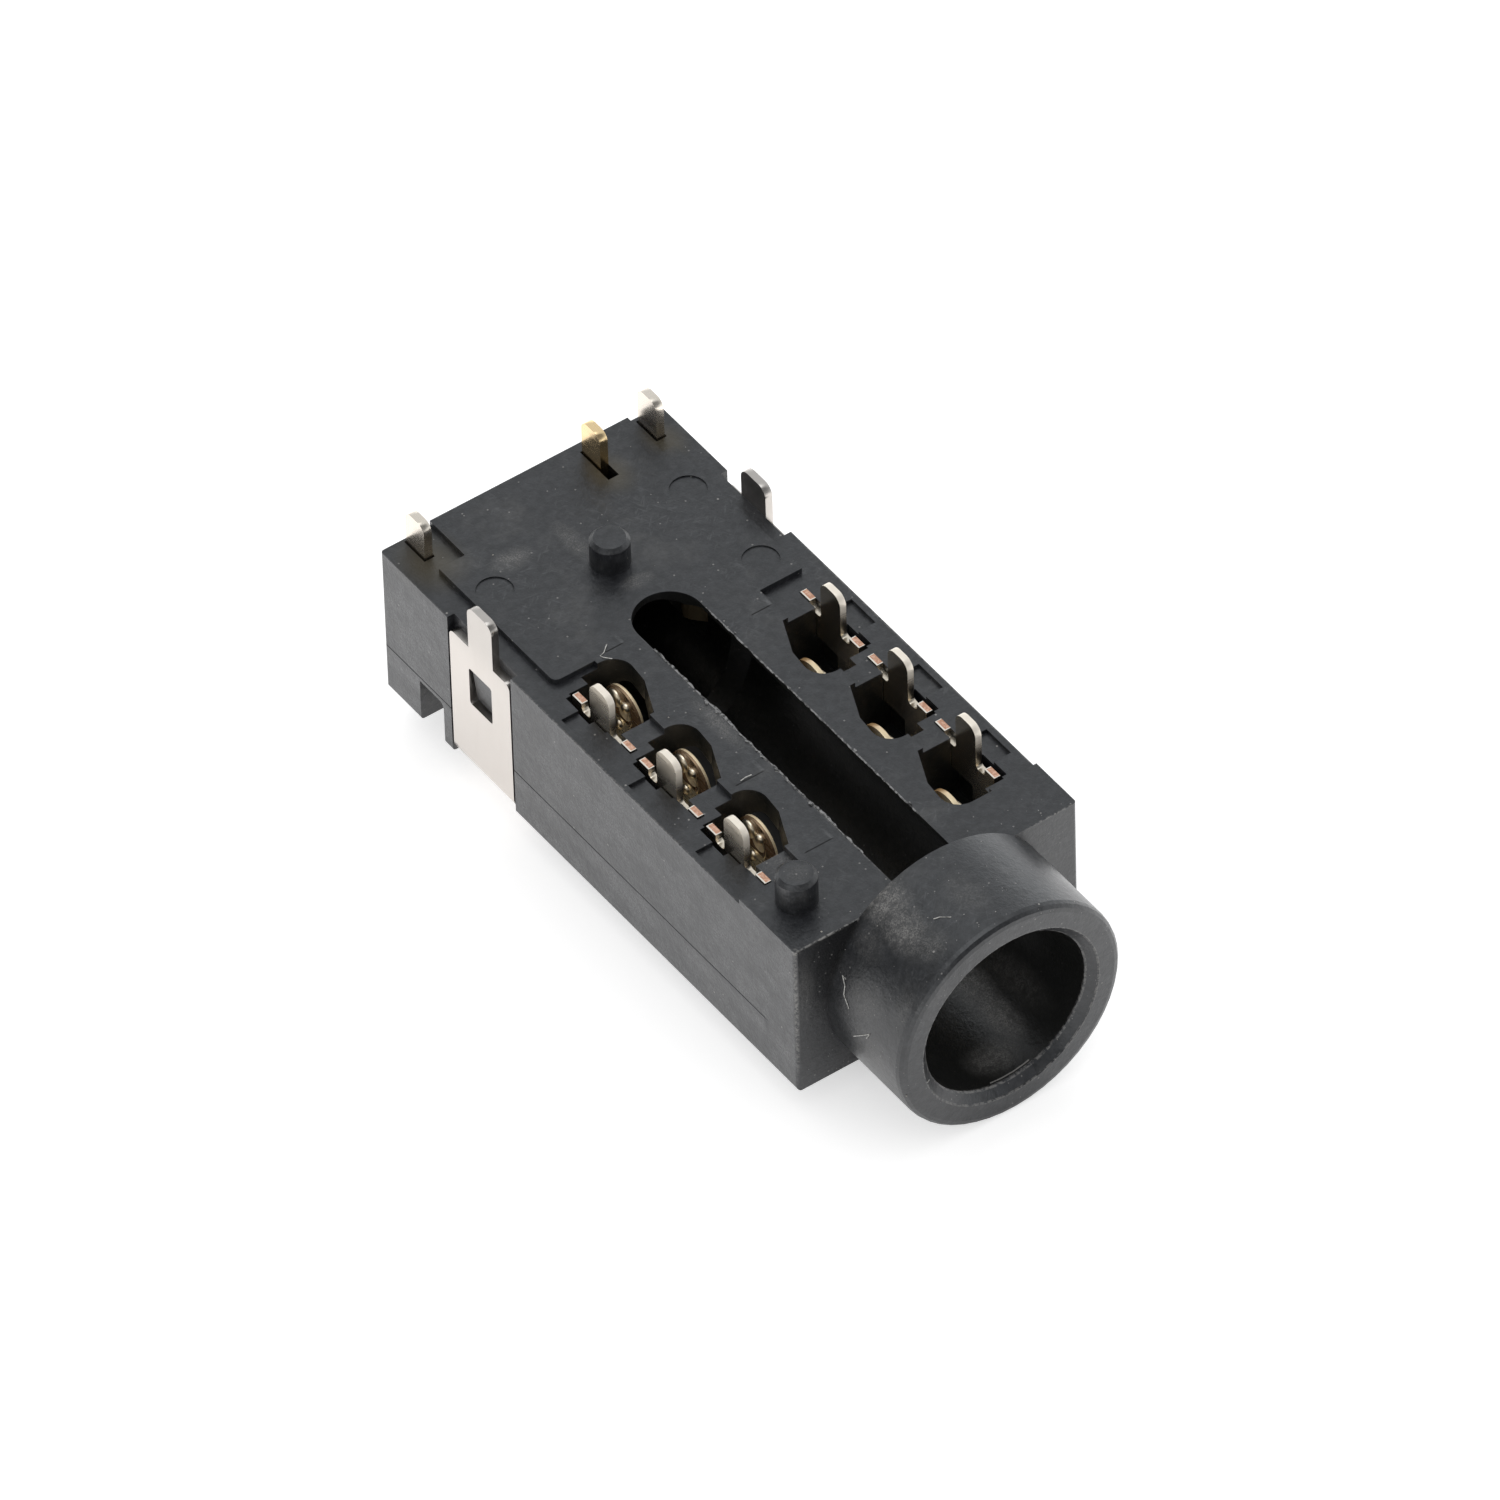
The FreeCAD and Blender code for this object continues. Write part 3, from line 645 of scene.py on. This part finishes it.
def leafMasks(tree, row, aside, along, z):
    # parts of the spring leaf, found by the place on its own contact
    own = tree.nodes.new("ShaderNodeCombineXYZ")
    for i, part in enumerate((aside, along, z)):
        tree.links.new(part, own.inputs[i])
    leaf = maths(tree, "LESS_THAN", aside, contact["goldInside"] * mm)
    glimpse = [fade(tree, along, *contact["glimpseFade"]), leaf, fade(tree, z, *contact["glimpseRise"])]
    return {
        "gold": leaf,
        "leafShade": softSpot(tree, own.outputs[0], *contact["leafShadeSpot"]),
        "sheen": softSpot(tree, own.outputs[0], *contact["sheenSpot"]),
        # painted highlight along the leaf's edge
        "rim": maths(tree, "LESS_THAN", aside, row["rim"] * mm),
        "glimpse": allOf(tree, glimpse),
        # painted shade on the leaf's edge band
        "leafEdgeShade": maths(tree, "MULTIPLY", leaf, within(tree, aside, contact["edgeOfLeaf"])),
    }


def shearedEdgesAndHighlights(tree, z):
    # the sheared edges of the blade are duller and paler than its rolled faces, and paler higher up: partly
    # their finish, partly a painted highlight
    facing = splitPlace(tree, tree.nodes.new("ShaderNodeTexCoord").outputs["Normal"])[0]
    edgewise = smoothStep(tree, maths(tree, "ABSOLUTE", facing), *contact["edgeFacing"])
    return maths(tree, "MULTIPLY", edgewise, fade(tree, z, *contact["edgeRise"]))


def metalShare(tree, row, z, masks, edges):
    metal = 1.0
    for name, drop in contact["dullness"].items():
        metal = maths(tree, "MULTIPLY_ADD", masks[name], -drop, metal)
    # painted highlight: less metal towards the tips of the left blades
    for low, high, drop in row["tipBrightening"]:
        metal = maths(tree, "MULTIPLY_ADD", fade(tree, z, low, high), -drop, metal)
    atEdges = maths(tree, "MULTIPLY_ADD", edges, contact["shearedMetal"] - 1, 1.0)
    return maths(tree, "MAXIMUM", maths(tree, "MINIMUM", metal, atEdges), 0.0)


def shearedPads(tree, place, side, along, plated):
    # bare copper inside a plated border
    x, y, z = splitPlace(tree, place)
    border = contact["padBorder"]
    away = maths(tree, "ABSOLUTE", along)
    atTop = maths(tree, "GREATER_THAN", z, contact["padLevel"] * mm)
    pads = maths(tree, "MULTIPLY", maths(tree, "GREATER_THAN", away, contact["padStart"] * mm), atTop)
    plated = mixColours(tree, pads, plated, contact["border"])
    across = maths(tree, "SUBTRACT", x, side * contact["plateMiddle"] * mm)
    offRim = maths(tree, "GREATER_THAN", across, (border - contact["plateHalf"]) * mm)
    inner = within(tree, away, (contact["padStart"] + 2 * border, contact["padEnd"] - border / 2))
    copper = mixColours(tree, pattern(tree, place, contact["wear"]), contact["copper"], contact["worn"])
    return mixColours(tree, allOf(tree, [inner, offRim, atTop]), plated, copper)


def contactTint(row):
    side = row["side"]

    def tint(tree, shader, place, base, rough):
        x, y, z = splitPlace(tree, place)
        aside = maths(tree, "ABSOLUTE", x)
        pitch = contact["pitch"] * mm
        front = row["middle"] * mm - pitch - pitch / 2
        past = maths(tree, "MODULO", maths(tree, "SUBTRACT", y, front), pitch)
        # from the contact's middle towards its leaf: rearwards on the left, forwards on the right
        along = maths(tree, "MULTIPLY_ADD", past, -side, side * pitch / 2)
        masks = leafMasks(tree, row, aside, along, z)
        edges = shearedEdgesAndHighlights(tree, z)
        tree.links.new(metalShare(tree, row, z, masks, edges), shader.inputs["Metallic"])
        rough = maths(tree, "MAXIMUM", rough, maths(tree, "MULTIPLY", edges, contact["shearedRoughness"]))
        colour = base
        for name in row["coats"]:
            strength, paint = contact["coats"][name]
            colour = mixColours(tree, maths(tree, "MULTIPLY", masks[name], strength), colour, paint)
        # sheared edges, partly a painted highlight
        colour = mixColours(tree, edges, colour, contact["sheared"])
        return shearedPads(tree, place, side, along, colour), rough
    return tint


# painted shade: the spring inside the body is painted nearly black, with less metal, at the rear of the slot;
# lengths in millimetres
springShade = {
    "top": 1.6,
    "rear": 11.5,
    "dullness": 0.6,
    "strength": 0.85,
    "colour": (0.06, 0.05, 0.035),
}


def paintedShadeInside(tree, shader, place, base, rough):
    x, y, z = splitPlace(tree, place)
    low = maths(tree, "LESS_THAN", z, springShade["top"] * mm)
    deep = maths(tree, "MULTIPLY", low, maths(tree, "LESS_THAN", y, springShade["rear"] * mm))
    metal = maths(tree, "MULTIPLY_ADD", deep, -springShade["dullness"], 1.0)
    tree.links.new(metal, shader.inputs["Metallic"])
    share = maths(tree, "MULTIPLY", deep, springShade["strength"])
    return mixColours(tree, share, base, springShade["colour"]), rough


# painted shade: the clip is painted a little darker towards its solder tabs; lengths in millimetres
clipTabShade = {
    "fade": (0.9, 1.9),
    "strength": 0.8,
    "colour": (0.505, 0.475, 0.445),
}


def shadeTowardsTabs(tree, shader, place, base, rough):
    x, y, z = splitPlace(tree, place)
    share = maths(tree, "MULTIPLY", fade(tree, z, *clipTabShade["fade"]), clipTabShade["strength"])
    return mixColours(tree, share, base, clipTabShade["colour"]), rough


def dress(names, material):
    for name in names:
        slots = nodes[name].data.materials
        for i in range(len(slots)):
            slots[i] = material


# the stamped edges of the metal pieces are slightly rounded: width in millimetres, and the least angle
# of an edge that is rounded, in degrees
rounding = {
    "contacts": (0.04, 35),
    "clip": (0.02, 50),
    "segments": 3,
    "weldDistance": 0.0005,
}


def softenEdges(name, width, sharpest):
    weld = nodes[name].modifiers.new("joinFaces", "WELD")
    weld.merge_threshold = rounding["weldDistance"] * mm
    bevel = nodes[name].modifiers.new("roundedEdges", "BEVEL")
    bevel.width = width * mm
    bevel.segments = rounding["segments"]
    bevel.limit_method = "ANGLE"
    bevel.angle_limit = math.radians(sharpest)
    bevel.harden_normals = True


contactNames = {label: [name for name in nodes if name.startswith(label + "_contact")] for label in rows}
terminals = ["switch_terminal", "detect_contact"]
dress(["housing"], makePlastic())
dress(["retaining_clip"], makeMetal("clipPlating", shadeTowardsTabs))
for label, row in rows.items():
    dress(contactNames[label], makeMetal(label + "ContactPlating", contactTint(row)))
dress(["tip_contact"], makeMetal("goldPlating", paintedShadeInside))
dress(terminals, makeMetal("nickelPlating"))
for name in contactNames["left"] + contactNames["right"] + ["tip_contact"] + terminals:
    softenEdges(name, *rounding["contacts"])
softenEdges("retaining_clip", *rounding["clip"])
print("materials on the CAD nodes")


# rounded rim of the dish in each spring leaf, with its swellings, in millimetres:
# x from the middle, y from the contact towards its leaf, z, and the three half-lengths
dishRim = {
    "leafFace": 1.642,
    "ahead": 0.62,
    "level": 0.9,
    "radius": 0.305,
    "thickness": 0.013,
    "steps": 32,
    "sides": 10,
    "subdivisions": 3,
    "mergeDistance": 0.0001,
    "swellings": (((1.650, 0.46, 1.175), (0.095, 0.115, 0.105)),
                  ((1.668, 0.67, 0.600), (0.090, 0.130, 0.110)),
                  ((1.665, 0.79, 1.180), (0.100, 0.210, 0.200))),
}


def meshPiece(name, shape, material):
    mesh = bpy.data.meshes.new(name)
    shape.to_mesh(mesh)
    shape.free()
    piece = bpy.data.objects.new(name, mesh)
    bpy.context.scene.collection.objects.link(piece)
    mesh.materials.append(material)
    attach(piece, "root")


def makeDishRims(material):
    shape = bmesh.new()
    # the section stands across the ring, at its highest point
    turned = Matrix.Rotation(math.pi / 2, 4, "Y") @ Matrix.Rotation(math.pi / 2, 4, "X")
    for row in rows.values():
        side = row["side"]
        for place in (-1, 0, 1):
            foot = Vector((0, row["middle"] + place * contact["pitch"], 0))
            centre = foot + Vector((side * dishRim["leafFace"], -side * dishRim["ahead"], dishRim["level"]))
            section = Matrix.Translation((centre + Vector((0, 0, dishRim["radius"]))) * mm) @ turned
            ring = bmesh.ops.create_circle(shape, segments=dishRim["sides"],
                                           radius=dishRim["thickness"] * mm, matrix=section)
            edges = list({edge for vert in ring["verts"] for edge in vert.link_edges})
            bmesh.ops.spin(shape, geom=ring["verts"] + edges, cent=centre * mm, axis=(1, 0, 0),
                           angle=math.tau, steps=dishRim["steps"], use_merge=True)
            for (out, ahead, level), halves in dishRim["swellings"]:
                spot = Matrix.Translation((foot + Vector((side * out, -side * ahead, level))) * mm)
                bmesh.ops.create_icosphere(shape, subdivisions=dishRim["subdivisions"], radius=mm,
                                           matrix=spot @ Matrix.Diagonal((*halves, 1)))
    bmesh.ops.remove_doubles(shape, verts=shape.verts, dist=dishRim["mergeDistance"] * mm)
    bmesh.ops.recalc_face_normals(shape, faces=shape.faces)
    for face in shape.faces:
        face.smooth = True
    meshPiece("dishRims", shape, material)


makeDishRims(makeMetal("dishRimGold"))
print("dish rims on the spring leaves")


# small pale things on the plastic; paint is the colour, the roughness, how much of the colour stays in the
# darker spots, and their cells to a metre
def makePale(name, paint):
    colour, roughness, shade, scale = paint
    material, tree, shader, place = newMaterial(name)
    spots = pattern(tree, place, (scale, *shared["paleSpots"]))
    mixed = mixColours(tree, spots, colour, tuple(c * shade for c in colour))
    tree.links.new(mixed, shader.inputs["Base Color"])
    shader.inputs["Roughness"].default_value = roughness
    return material


# ragged mould flash along the slot and a few flakes of it, in millimetres
flash = {
    "seed": 11,
    "paint": ((0.26, 0.26, 0.26), 0.5, 0.1, 16000.0),
    "level": 1.768,
    "depth": 0.012,
    "root": 0.012,
    "step": 0.045,
    "stepSpread": (0.6, 1.5),
    "width": 0.01,
    "least": 0.004,
    "wander": (-0.02, 0.02),
    # edge of the slot, direction into it, front end, rear end and greatest width
    "runs": ((-0.7, 1, 1.3, 7.9, 0.05), (0.7, -1, 1.5, 8.2, 0.02)),
    "flakes": ((-0.74, 6.15), (-0.73, 5.85), (-0.72, 5.1), (-0.73, 4.9), (-0.72, 4.6), (-0.73, 4.4),
               (-0.72, 4.0), (-0.73, 3.65), (-0.72, 3.4), (-0.73, 2.9), (0.75, 7.3), (0.73, 3.5),
               (0.73, 1.8)),
    "flakeSides": 6,
    "flakeLevel": 1.772,
    "flakeReach": (0.02, 0.045),
    "flakeTurn": (0, 6.28),
    "flakeSpread": (0.6, 1.3),
    "flakeStretch": (0.7, 1.4),
    "flakeHeight": (0.012, 0.03),
}


def addSliver(shape, corners, low, height):
    # flat sliver with an uneven outline; corners counted round, all in millimetres
    foot = shape.faces.new([shape.verts.new((x * mm, y * mm, low * mm)) for x, y in corners])
    raised = bmesh.ops.extrude_face_region(shape, geom=[foot])["geom"]
    bmesh.ops.translate(shape, verts=[part for part in raised if isinstance(part, bmesh.types.BMVert)],
                        vec=(0, 0, height * mm))


def addFlashRun(shape, edge, inward, start, end, widest):
    # a ragged strip along one edge of the slot
    rim = []
    y = start
    width = flash["width"]
    while y < end:
        width = max(flash["least"], min(widest, width + random.uniform(*flash["wander"])))
        rim.append((edge + inward * width, y))
        y += flash["step"] * random.uniform(*flash["stepSpread"])
    back = edge - inward * flash["root"]
    for first, second in zip(rim, rim[1:]):
        corners = [(back, first[1]), first, second, (back, second[1])]
        addSliver(shape, corners, flash["level"], flash["depth"])


def addFlake(shape, x, y):
    size = random.uniform(*flash["flakeReach"])
    turn = random.uniform(*flash["flakeTurn"])
    across, along = flash["flakeStretch"]
    corners = []
    for i in range(flash["flakeSides"]):
        angle = turn + i * math.tau / flash["flakeSides"]
        reach = size * random.uniform(*flash["flakeSpread"])
        corners.append((x + reach * across * math.cos(angle), y + reach * along * math.sin(angle)))
    addSliver(shape, corners, flash["flakeLevel"], random.uniform(*flash["flakeHeight"]))


def makeFlash():
    random.seed(flash["seed"])
    shape = bmesh.new()
    for run in flash["runs"]:
        addFlashRun(shape, *run)
    for x, y in flash["flakes"]:
        addFlake(shape, x, y)
    bmesh.ops.recalc_face_normals(shape, faces=shape.faces)
    meshPiece("slotFlash", shape, makePale("palePlasticFlash", flash["paint"]))


# fibres that lie on the plastic, as routes in millimetres
lint = {
    "paint": ((0.72, 0.71, 0.68), 0.7, 0.55, 20000.0),
    "radius": 0.009,
    "sides": 6,
    "routes": (
        ((-1.33, 8.469, 1.80), (-1.484, 8.343, 1.785), (-1.588, 8.313, 1.778), (-1.566, 8.244, 1.78),
         (-1.462, 8.111, 1.79)),
        ((-1.408, 4.137, 1.785), (-1.29, 4.145, 1.80), (-1.163, 4.139, 1.79)),
        ((-2.36, -0.42, 0.93), (-2.345, -0.30, 0.92), (-2.39, -0.43, 0.78), (-2.44, -0.46, 0.60),
         (-2.475, -0.66, 0.42)),
        ((-2.505, -0.83, -0.14), (-2.508, -1.09, 0.10), (-2.49, -1.32, 0.31), (-2.506, -1.24, 0.15)),
        ((-0.96, -1.25, 2.32), (-0.86, -1.31, 2.358), (-0.72, -1.47, 2.402)),
        ((-1.93, -2.266, -0.58), (-1.85, -2.262, -0.50)),
    ),
}


def addFibre(shape, points):
    # a thin tube whose rings each stand across the way from the point before to the point after
    sides = lint["sides"]
    rings = []
    for i, point in enumerate(points):
        ahead = (points[min(i + 1, len(points) - 1)] - points[max(i - 1, 0)]).normalized()
        side = ahead.orthogonal().normalized()
        other = ahead.cross(side)
        ring = []
        for k in range(sides):
            angle = k * math.tau / sides
            spot = point + lint["radius"] * (math.cos(angle) * side + math.sin(angle) * other)
            ring.append(shape.verts.new(spot * mm))
        rings.append(ring)
    for lower, upper in zip(rings, rings[1:]):
        for k in range(sides):
            j = (k + 1) % sides
            shape.faces.new((lower[k], lower[j], upper[j], upper[k]))
    shape.faces.new(rings[0][::-1])
    shape.faces.new(rings[-1])


def makeLint():
    shape = bmesh.new()
    for route in lint["routes"]:
        addFibre(shape, [Vector(point) for point in route])
    bmesh.ops.recalc_face_normals(shape, faces=shape.faces)
    meshPiece("lint", shape, makePale("whiteLint", lint["paint"]))


# grains of grit and their places, in millimetres
grit = {
    "seed": 5,
    "paint": ((0.42, 0.40, 0.36), 0.7, 0.55, 20000.0),
    "radius": 0.021,
    "spread": (0.6, 1.2),
    "stretch": ((0.7, 1.3), (0.7, 1.3), (0.5, 1.0)),
    "subdivisions": 1,
    "places": ((2.002, -2.254, -0.382), (1.78, -2.254, 1.057), (-1.943, -2.254, -1.031),
               (-2.36, -2.245, -0.62), (1.123, -2.14, -1.42), (1.9, -2.254, 0.70), (-1.507, 6.266, 1.77),
               (-0.92, 6.091, 1.77), (-1.346, 2.687, 1.66), (-1.643, 11.656, 1.77), (-2.47, 0.15, 1.77),
               (-3.15, 0.01, 1.70), (-1.75, 0.25, 1.77), (-2.45, -0.25, 0.0)),
}


def makeGrit():
    random.seed(grit["seed"])
    shape = bmesh.new()
    for x, y, z in grit["places"]:
        size = grit["radius"] * random.uniform(*grit["spread"]) * mm
        stretch = [random.uniform(*spread) for spread in grit["stretch"]]
        spot = Matrix.Translation((x * mm, y * mm, z * mm)) @ Matrix.Diagonal((*stretch, 1))
        bmesh.ops.create_icosphere(shape, subdivisions=grit["subdivisions"], radius=size, matrix=spot)
    meshPiece("grit", shape, makePale("paleGrit", grit["paint"]))


makeFlash()
makeLint()
makeGrit()
print("slot flash, lint and grit")


# floor and white surroundings; soft spots and limits in millimetres
studio = {
    # level and size of the floor in metres
    "floorLevel": -0.0025,
    "floorSize": 3.0,
    "floorWhite": (0.84, 0.84, 0.84, 1),
    "lift": 0.55,
    "mirroredLift": 0.68,
    "world": 0.8,
    # the floor's own light stays off under the body and the nose, and grows to the right
    "under": ((0, 5.8, -2.5), (3.0, 8.0, 3.0)),
    "underNose": ((-0.4, -1.2, -2.5), (3.0, 2.2, 3.0)),
    "rightLift": (1.0, 5.0, 0.22),
    # painted shade on the floor under the slot, black seen through the wells: x and y limits
    "slotShade": ((-0.9, 0.9), (0.6, 9.1)),
    "slotShadeColour": (0.07, 0.07, 0.07),
    # soft room that the metal mirrors: direction of a patch, where it fades in, and its strength
    "roomColour": (0.945, 0.975, 1.0, 1),
    "roomLevel": 1.05,
    "roomDrop": -0.25,
    "roomFade": (0.25, 0.75),
    "darkLeft": ((-0.80, 0.45, 0.40), 0.80, 0.95, -0.8),
    "darkFront": ((0.05, -0.74, 0.67), 0.68, 0.90, -0.75),
    "brightAbove": ((-0.10, 0.10, 0.99), 0.90, 0.975, 1.3),
    "brightRight": ((0.80, 0.58, 0.02), 0.86, 0.97, 0.6),
}


def makeFloorPaint():
    material = bpy.data.materials.new("floorWhite")
    material.use_nodes = True
    tree = material.node_tree
    tree.nodes.clear()
    output = tree.nodes.new("ShaderNodeOutputMaterial")
    matt = tree.nodes.new("ShaderNodeBsdfDiffuse")
    glow = tree.nodes.new("ShaderNodeEmission")
    place = tree.nodes.new("ShaderNodeTexCoord").outputs["Object"]
    x, y, z = splitPlace(tree, place)
    across, along = studio["slotShade"]
    shaded = maths(tree, "MULTIPLY", within(tree, x, across), within(tree, y, along))
    tree.links.new(mixColours(tree, shaded, studio["floorWhite"], studio["slotShadeColour"]), matt.inputs["Color"])
    # white where the camera sees it; in reflections the floor stays darker under the body and the nose
    path = tree.nodes.new("ShaderNodeLightPath")
    mirrored = maths(tree, "MAXIMUM", path.outputs["Is Glossy Ray"], path.outputs["Is Transmission Ray"])
    under = softSpot(tree, place, *studio["under"])
    underAll = maths(tree, "MAXIMUM", under, softSpot(tree, place, *studio["underNose"]))
    seenLift = maths(tree, "MULTIPLY", path.outputs["Is Camera Ray"], maths(tree, "SUBTRACT", 1.0, under))
    mirroredLift = maths(tree, "MULTIPLY", mirrored, maths(tree, "SUBTRACT", 1.0, underAll))
    start, end, extra = studio["rightLift"]
    amount = maths(tree, "MULTIPLY_ADD", fade(tree, x, start, end), extra, studio["mirroredLift"])
    lift = maths(tree, "MULTIPLY", mirroredLift, amount)
    lift = maths(tree, "MULTIPLY_ADD", seenLift, studio["lift"], lift)
    lift = maths(tree, "MULTIPLY", lift, maths(tree, "SUBTRACT", 1.0, shaded))
    tree.links.new(lift, glow.inputs["Strength"])
    both = tree.nodes.new("ShaderNodeAddShader")
    tree.links.new(matt.outputs[0], both.inputs[0])
    tree.links.new(glow.outputs[0], both.inputs[1])
    tree.links.new(both.outputs[0], output.inputs["Surface"])
    return material


def makeFloor():
    shape = bmesh.new()
    bmesh.ops.create_grid(shape, x_segments=2, y_segments=2, size=studio["floorSize"] / 2)
    bmesh.ops.translate(shape, verts=shape.verts, vec=(0, 0, studio["floorLevel"]))
    mesh = bpy.data.meshes.new("floor")
    shape.to_mesh(mesh)
    shape.free()
    floor = bpy.data.objects.new("floor", mesh)
    bpy.context.scene.collection.objects.link(floor)
    mesh.materials.append(makeFloorPaint())


def patchOf(tree, towards, facts):
    # a soft round patch of the room around one direction
    direction, low, high, amount = facts
    aligned = addNode(tree, "ShaderNodeVectorMath", {"operation": "DOT_PRODUCT"})
    tree.links.new(towards, aligned.inputs[0])
    aligned.inputs[1].default_value = Vector(direction).normalized()
    return maths(tree, "MULTIPLY", smoothStep(tree, aligned.outputs["Value"], low, high), amount)


def makeWorld():
    # white for the camera; in reflections a soft room with two dark patches, lit from above and the right
    world = bpy.data.worlds.new("whiteRoom")
    bpy.context.scene.world = world
    world.use_nodes = True
    tree = world.node_tree
    tree.nodes.clear()
    output = tree.nodes.new("ShaderNodeOutputWorld")
    soft = addNode(tree, "ShaderNodeBackground", None, {"Strength": studio["world"], "Color": (1, 1, 1, 1)})
    white = addNode(tree, "ShaderNodeBackground", None, {"Strength": 1.0, "Color": (1, 1, 1, 1)})
    room = addNode(tree, "ShaderNodeBackground", None, {"Color": studio["roomColour"]})
    towards = tree.nodes.new("ShaderNodeTexCoord").outputs["Generated"]
    upwards = smoothStep(tree, splitPlace(tree, towards)[2], *studio["roomFade"])
    level = maths(tree, "MULTIPLY_ADD", upwards, studio["roomDrop"], studio["roomLevel"])
    for name in ("darkLeft", "darkFront"):
        level = maths(tree, "MULTIPLY", level, maths(tree, "ADD", patchOf(tree, towards, studio[name]), 1.0))
    for name in ("brightAbove", "brightRight"):
        level = maths(tree, "ADD", level, patchOf(tree, towards, studio[name]))
    tree.links.new(level, room.inputs["Strength"])
    path = tree.nodes.new("ShaderNodeLightPath")
    mirrored = tree.nodes.new("ShaderNodeMixShader")
    tree.links.new(path.outputs["Is Glossy Ray"], mirrored.inputs[0])
    tree.links.new(soft.outputs[0], mirrored.inputs[1])
    tree.links.new(room.outputs[0], mirrored.inputs[2])
    seen = maths(tree, "MAXIMUM", path.outputs["Is Camera Ray"], path.outputs["Is Transmission Ray"])
    mix = tree.nodes.new("ShaderNodeMixShader")
    tree.links.new(seen, mix.inputs[0])
    tree.links.new(mirrored.outputs[0], mix.inputs[1])
    tree.links.new(white.outputs[0], mix.inputs[2])
    tree.links.new(mix.outputs[0], output.inputs["Surface"])


# one soft lamp behind the right shoulder of the part, in metres and watts
lamp = {
    "place": (0.18, 0.26, 0.32),
    "aim": (0, 0.0055, 0),
    "size": 0.3,
    "power": 0.35,
}


def makeLamp():
    light = bpy.data.lights.new("key", "AREA")
    light.shape = "SQUARE"
    light.size = lamp["size"]
    light.energy = lamp["power"]
    holder = bpy.data.objects.new("key", light)
    holder.location = lamp["place"]
    aim = Vector(lamp["aim"]) - holder.location
    holder.rotation_euler = aim.to_track_quat("-Z", "Y").to_euler()
    holder.visible_glossy = False
    bpy.context.scene.collection.objects.link(holder)


makeFloor()
makeWorld()
makeLamp()
bpy.context.scene.view_settings.view_transform = "Standard"
print("studio ready")


# camera at the photograph's viewing angle
cameraFacts = {
    "place": (-0.157169, -0.222857, 0.283138),
    "turn": (44.4434, 1.2761, -35.7974),
    "lens": 515.92,
    "sensor": 36.0,
    "clip": (0.01, 10.0),
}
cameraData = bpy.data.cameras.new("camera")
cameraData.lens = cameraFacts["lens"]
cameraData.sensor_width = cameraFacts["sensor"]
cameraData.clip_start, cameraData.clip_end = cameraFacts["clip"]
camera = bpy.data.objects.new("camera", cameraData)
camera.location = cameraFacts["place"]
camera.rotation_euler = [math.radians(a) for a in cameraFacts["turn"]]
bpy.context.scene.collection.objects.link(camera)
bpy.context.scene.camera = camera
print("camera set")
